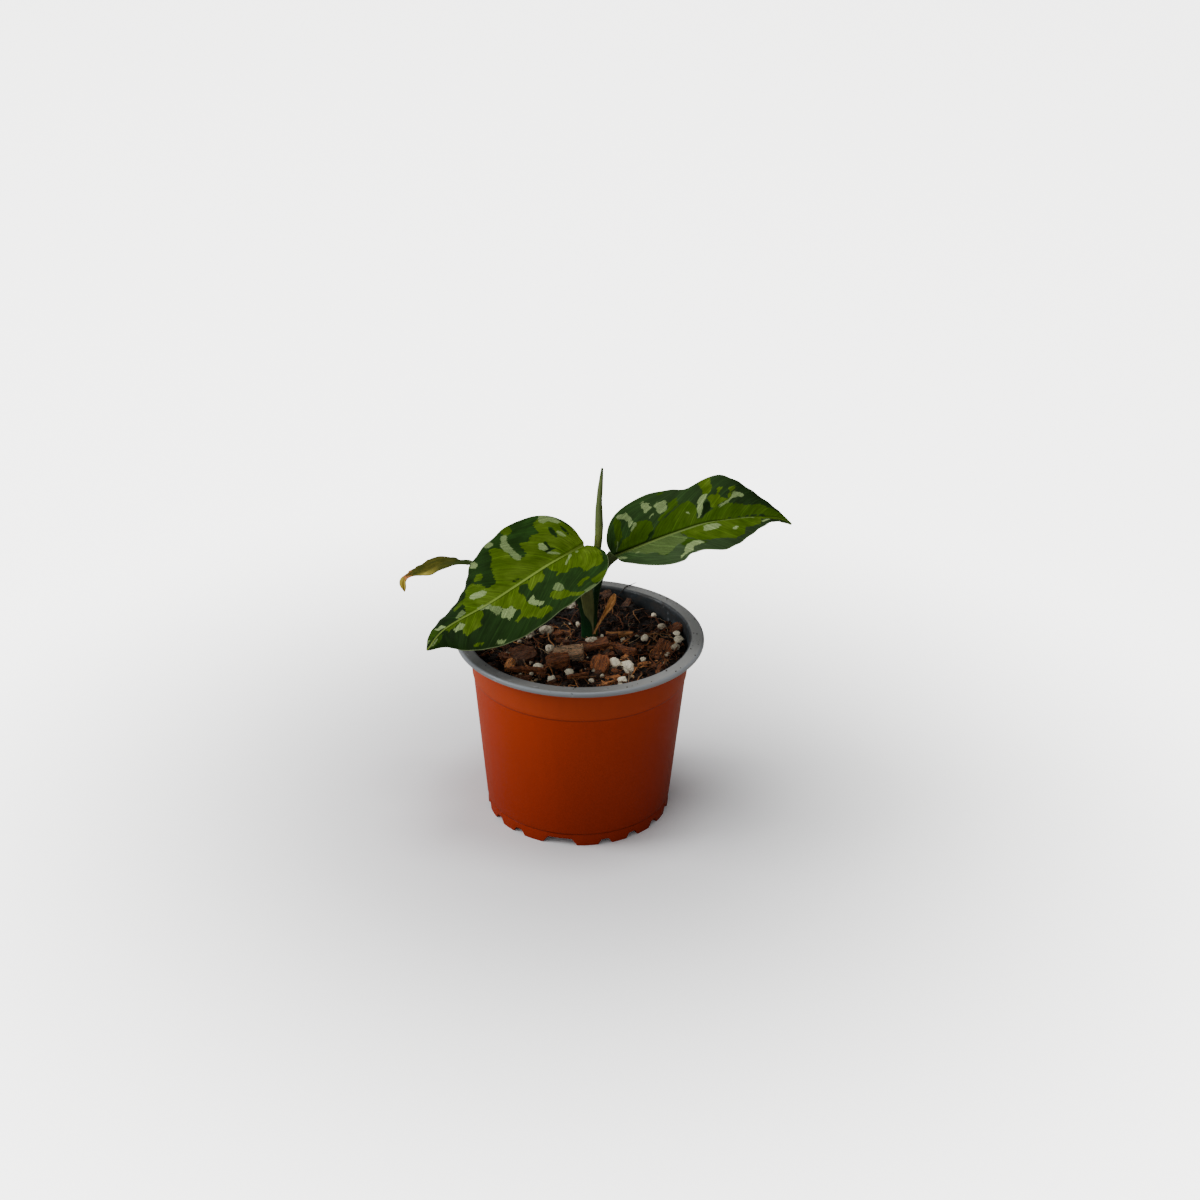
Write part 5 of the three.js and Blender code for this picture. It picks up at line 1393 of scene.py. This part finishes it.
DARK_STALK = stalk_material("dark_stalk_skin", (14, 58, 25), (14, 42, 14), (62, 76, 38), (62, 68, 30))
PALE_STALK = stalk_material("pale_stalk_skin", (104, 106, 74), (102, 108, 64), (92, 100, 52), (70, 82, 44))
stem()
STALKS = (
    ("stalk_front", "petiole_front", FRONT_STALK, "pale_stalk", PALE_STALK),
    ("stalk_right", "petiole_right", RIGHT_STALK, "dark_stalk", DARK_STALK),
    ("stalk_left", "petiole_left", LEFT_STALK, "dark_stalk", DARK_STALK),
)
for name, node, stalk, slot, material in STALKS:
    points, faces, places = loft(stalk, steps=90, sides=32, section=grooved)
    add_piece(name, points, faces, slot, node, {"stalk": places}, material)


# The new leaf: the next blade, still rolled to a spear. Its outer margin laps over along the right of the
# roll and is dark, partly its own colour and partly painted shade, while the left is pale green and limer
# towards the foot, with a painted highlight down it.
NEW_LEAF = {
    "path": ((4.3, 8, 66.5), (4.2, 9, 79.5), (5.1, 8.2, 92.5), (6.2, 6.8, 105.5), (6.2, 6.5, 118.5),
             (7.1, 6.5, 131.3)),
    "across": (0.8, 0.85, 0.9, 1, 1.15, 1.36, 1.5, 1.5, 1.12, 0.9, 0.4),
    "through": (0.8, 0.85, 0.9, 1, 1.1, 1.2, 1.2, 1.15, 0.9, 0.75, 0.35),
}


def lapped(around, up):
    """The roll's overlap: a small step along a seam that winds slowly round it."""
    seam = math.radians(-52) + 0.5 * np.sin(up * 5 + 0.6)
    off = (around - seam) % (2 * math.pi)
    step = 0.13 * np.exp(-((off / 0.9) ** 2)) * smooth_step(up, 0.25, 0.45)
    ridges = 0.02 * np.sin(around * 9 + up * 3)
    ridges += 0.03 * np.sin(up * 60 + around * 2) * smooth_step(up, 0.4, 0.6)
    return 0.97 + step + ridges * 0.6


def new_leaf_material():
    made, tree, shader = new_material("rolled_leaf_skin", 0.5, 0.15)
    place = carried(tree, "stalk", "Vector")
    axes = axes_of(place)
    threads = cloud(stretched(place, (6, 6, 3)), 2, 4, 0.6)
    patches = cloud(stretched(place, (1.2, 1.2, 9)), 1.1, 3)
    ragged = plus(axes["X"], times(minus(patches, 0.5), 0.9))
    skin = layered(
        mixed(between(axes["Z"], 0.5, 0.75), (122, 138, 54), (98, 113, 66)),
        (between(patches, 0.48, 0.62, 0, 0.4), (78, 104, 38)),
        # A pale stripe down the left of the roll: painted highlight.
        (between(calc("ABSOLUTE", plus(axes["X"], 0.25)), 0.3, 0.02, 0, 0.4), (146, 160, 96)),
        # The right of the roll is dark: partly the lapped margin's own colour, partly painted shade.
        (between(ragged, 0.42, 0.62, 0, 0.85), (68, 80, 30)),
        (between(axes["Z"], 0.93, 0.985, 0, 0.8), (44, 68, 26)),
    )
    skin = toned(skin, between(threads, 0.3, 0.7, 0.85, 1.12))
    feed(shader, Base_Color=skin, Normal=bumped(threads, 0.35, 0.0003))
    return made


points, faces, places = loft(NEW_LEAF, steps=160, sides=40, section=lapped)
add_piece("new_leaf_roll", points, faces, "rolled_leaf", "new_leaf", {"stalk": places}, new_leaf_material())


# The dry bract: a papery spatula beside the foot of the stem, left from an older leaf. It is
# orange brown, ribbed lengthwise and pinched dark at its foot.
CATAPHYLL = {
    "midrib": ((5, 4.7, 66.6), (6.4, 5, 70), (8.5, 5, 74), (10.9, 5, 78.6), (12.6, 5, 83.2)),
    "roll": (88, 84, 70),
    "half": ((0.6, 0.5, 0.45, 0.45, 0.55, 0.75, 1.25, 1.4, 0.3),) * 2,
    "lobe": (0, 0),
    "fold": ((0, 0, 0, 5, 15, 20, 10), (0, 0, 0, 5, 15, 20, 10)),
    "length": 20,
}


def bract_relief(flat, half, row, across):
    ribs = 0.05 * np.sin(across * 16) * smooth_step(row, 0.3, 0.6)
    curl = 0.1 * ripple(flat.reshape(-1, 2), 3, 41).reshape(row.shape)
    return ribs + curl, ribs * 0.5 - curl


def bract_material():
    made, tree, shader = new_material("dry_bract", 0.6)
    flat = carried(tree, "flat", "Vector")
    axes = axes_of(flat)
    threads = cloud(stretched(flat, (0.35, 4, 1)), 1.2, 3, 0.6)
    skin = layered(
        mixed(between(axes["X"], 1, 12), (84, 47, 18), (172, 108, 42)),
        (between(threads, 0.4, 0.62, 0, 0.8), (232, 172, 100)),
        (between(axes["Z"], 0.3, 0.05, 0, 0.6), (120, 66, 26)),
    )
    feed(shader, Base_Color=skin, Normal=bumped(threads, 0.5, 0.0003))
    return made


shape = blade_grid(CATAPHYLL, rows=90, columns=25, first=0, last=0.985, thickness=0.3, relief=bract_relief)
points, faces, flat, half, across, _ = shape
values = {"flat": with_margin(flat, half, across)}
add_piece("dry_bract", points, faces, "dry_bract", "cataphyll", values, bract_material())


# The floor and light: a plain pale floor under soft light that comes from a large window at
# the left and from above, with a pale room all round.
FLOOR_GLOW = 4
FLOOR_REACH = 9
ROOM_LIGHT = (0.1, 0.9)


def pale_floor():
    """Seen by the camera it is bright, and it throws less of its light back on the pot."""
    made, tree, shader = new_material("pale_floor", 0.7, 0.1)
    seen = add_node("LightPath", {}, tree)["Is Camera Ray"]
    from_pot = add_node("VectorMath", {0: object_place(tree), 1: tuple(POT_AXIS)}, operation="DISTANCE")[1]
    glow = times(between(from_pot, 0.034, 0.3), FLOOR_GLOW)
    shader["Emission Color"].default_value = colour(255, 254, 252)
    base = mixed(seen, (186, 178, 168), (248, 247, 246))
    feed(shader, Base_Color=base, Emission_Strength=times(seen, glow))
    return made


floor_mesh = bpy.data.meshes.new("floor")
corners = [(x * FLOOR_REACH, y * FLOOR_REACH, 0) for x, y in ((-1, -1), (1, -1), (1, 1), (-1, 1))]
floor_mesh.from_pydata(corners, [], [(0, 1, 2, 3)])
floor_mesh.materials.append(pale_floor())
floor = bpy.data.objects.new("floor", floor_mesh)
bpy.context.scene.collection.objects.link(floor)


def soft_light(name, place, target, size, power, tint):
    light = bpy.data.lights.new(name, "AREA")
    light.shape, light.size, light.energy, light.color = "DISK", size, power, tint
    lamp = bpy.data.objects.new(name, light)
    bpy.context.scene.collection.objects.link(lamp)
    back = Vector(place) - Vector(target)
    lamp.matrix_world = Matrix.Translation(place) @ back.to_track_quat("Z", "Y").to_matrix().to_4x4()


def pale_room():
    """A pale room, brighter on the window's side."""
    world = bpy.data.worlds.new("pale_room")
    world.use_nodes = True
    tree = world.node_tree
    toward = axes_of(add_node("TexCoord", {}, tree)["Generated"])
    windowward = plus(times(toward["Y"], 0.45), times(toward["X"], 0.9))
    seen = add_node("LightPath", {}, tree)["Is Camera Ray"]
    strength = calc("MAXIMUM", between(windowward, 0.9, -0.9, *ROOM_LIGHT), times(seen, FLOOR_GLOW + 0.5))
    backdrop = tree.nodes["Background"].inputs
    backdrop["Color"].default_value = (0.95, 0.97, 1, 1)
    feed(backdrop, Strength=strength)
    bpy.context.scene.world = world


soft_light("window_left", (-1.5, -0.1, 0.9), (0, 0, 0.07), 0.9, 19, (0.97, 0.98, 1))
soft_light("fill_above", (0.1, 0, 1.6), (0, 0, 0.05), 0.6, 10, (0.96, 0.98, 1))
pale_room()


# The camera: the photograph's own view, worked out from the pot's rim and foot. It looks
# down at the pot from the front, a little rolled.
CAMERA_DISTANCE = 0.718
CAMERA_ELEVATION = math.radians(26.53)
CAMERA_ROLL = math.radians(-0.9)
CAMERA_AIM = np.array([0.00705, 0, 0.0828]) + POT_AXIS


def photo_camera():
    lens = bpy.data.cameras.new("photo_camera")
    lens.lens, lens.sensor_width = 60, 36
    lens.clip_start, lens.clip_end = 0.01, 50
    camera = bpy.data.objects.new("photo_camera", lens)
    bpy.context.scene.collection.objects.link(camera)
    turn = Matrix.Rotation(math.pi / 2 - CAMERA_ELEVATION, 4, "X") @ Matrix.Rotation(-CAMERA_ROLL, 4, "Z")
    camera.matrix_world = Matrix.Translation(CAMERA_AIM) @ turn @ Matrix.Translation((0, 0, CAMERA_DISTANCE))
    bpy.context.scene.camera = camera


photo_camera()
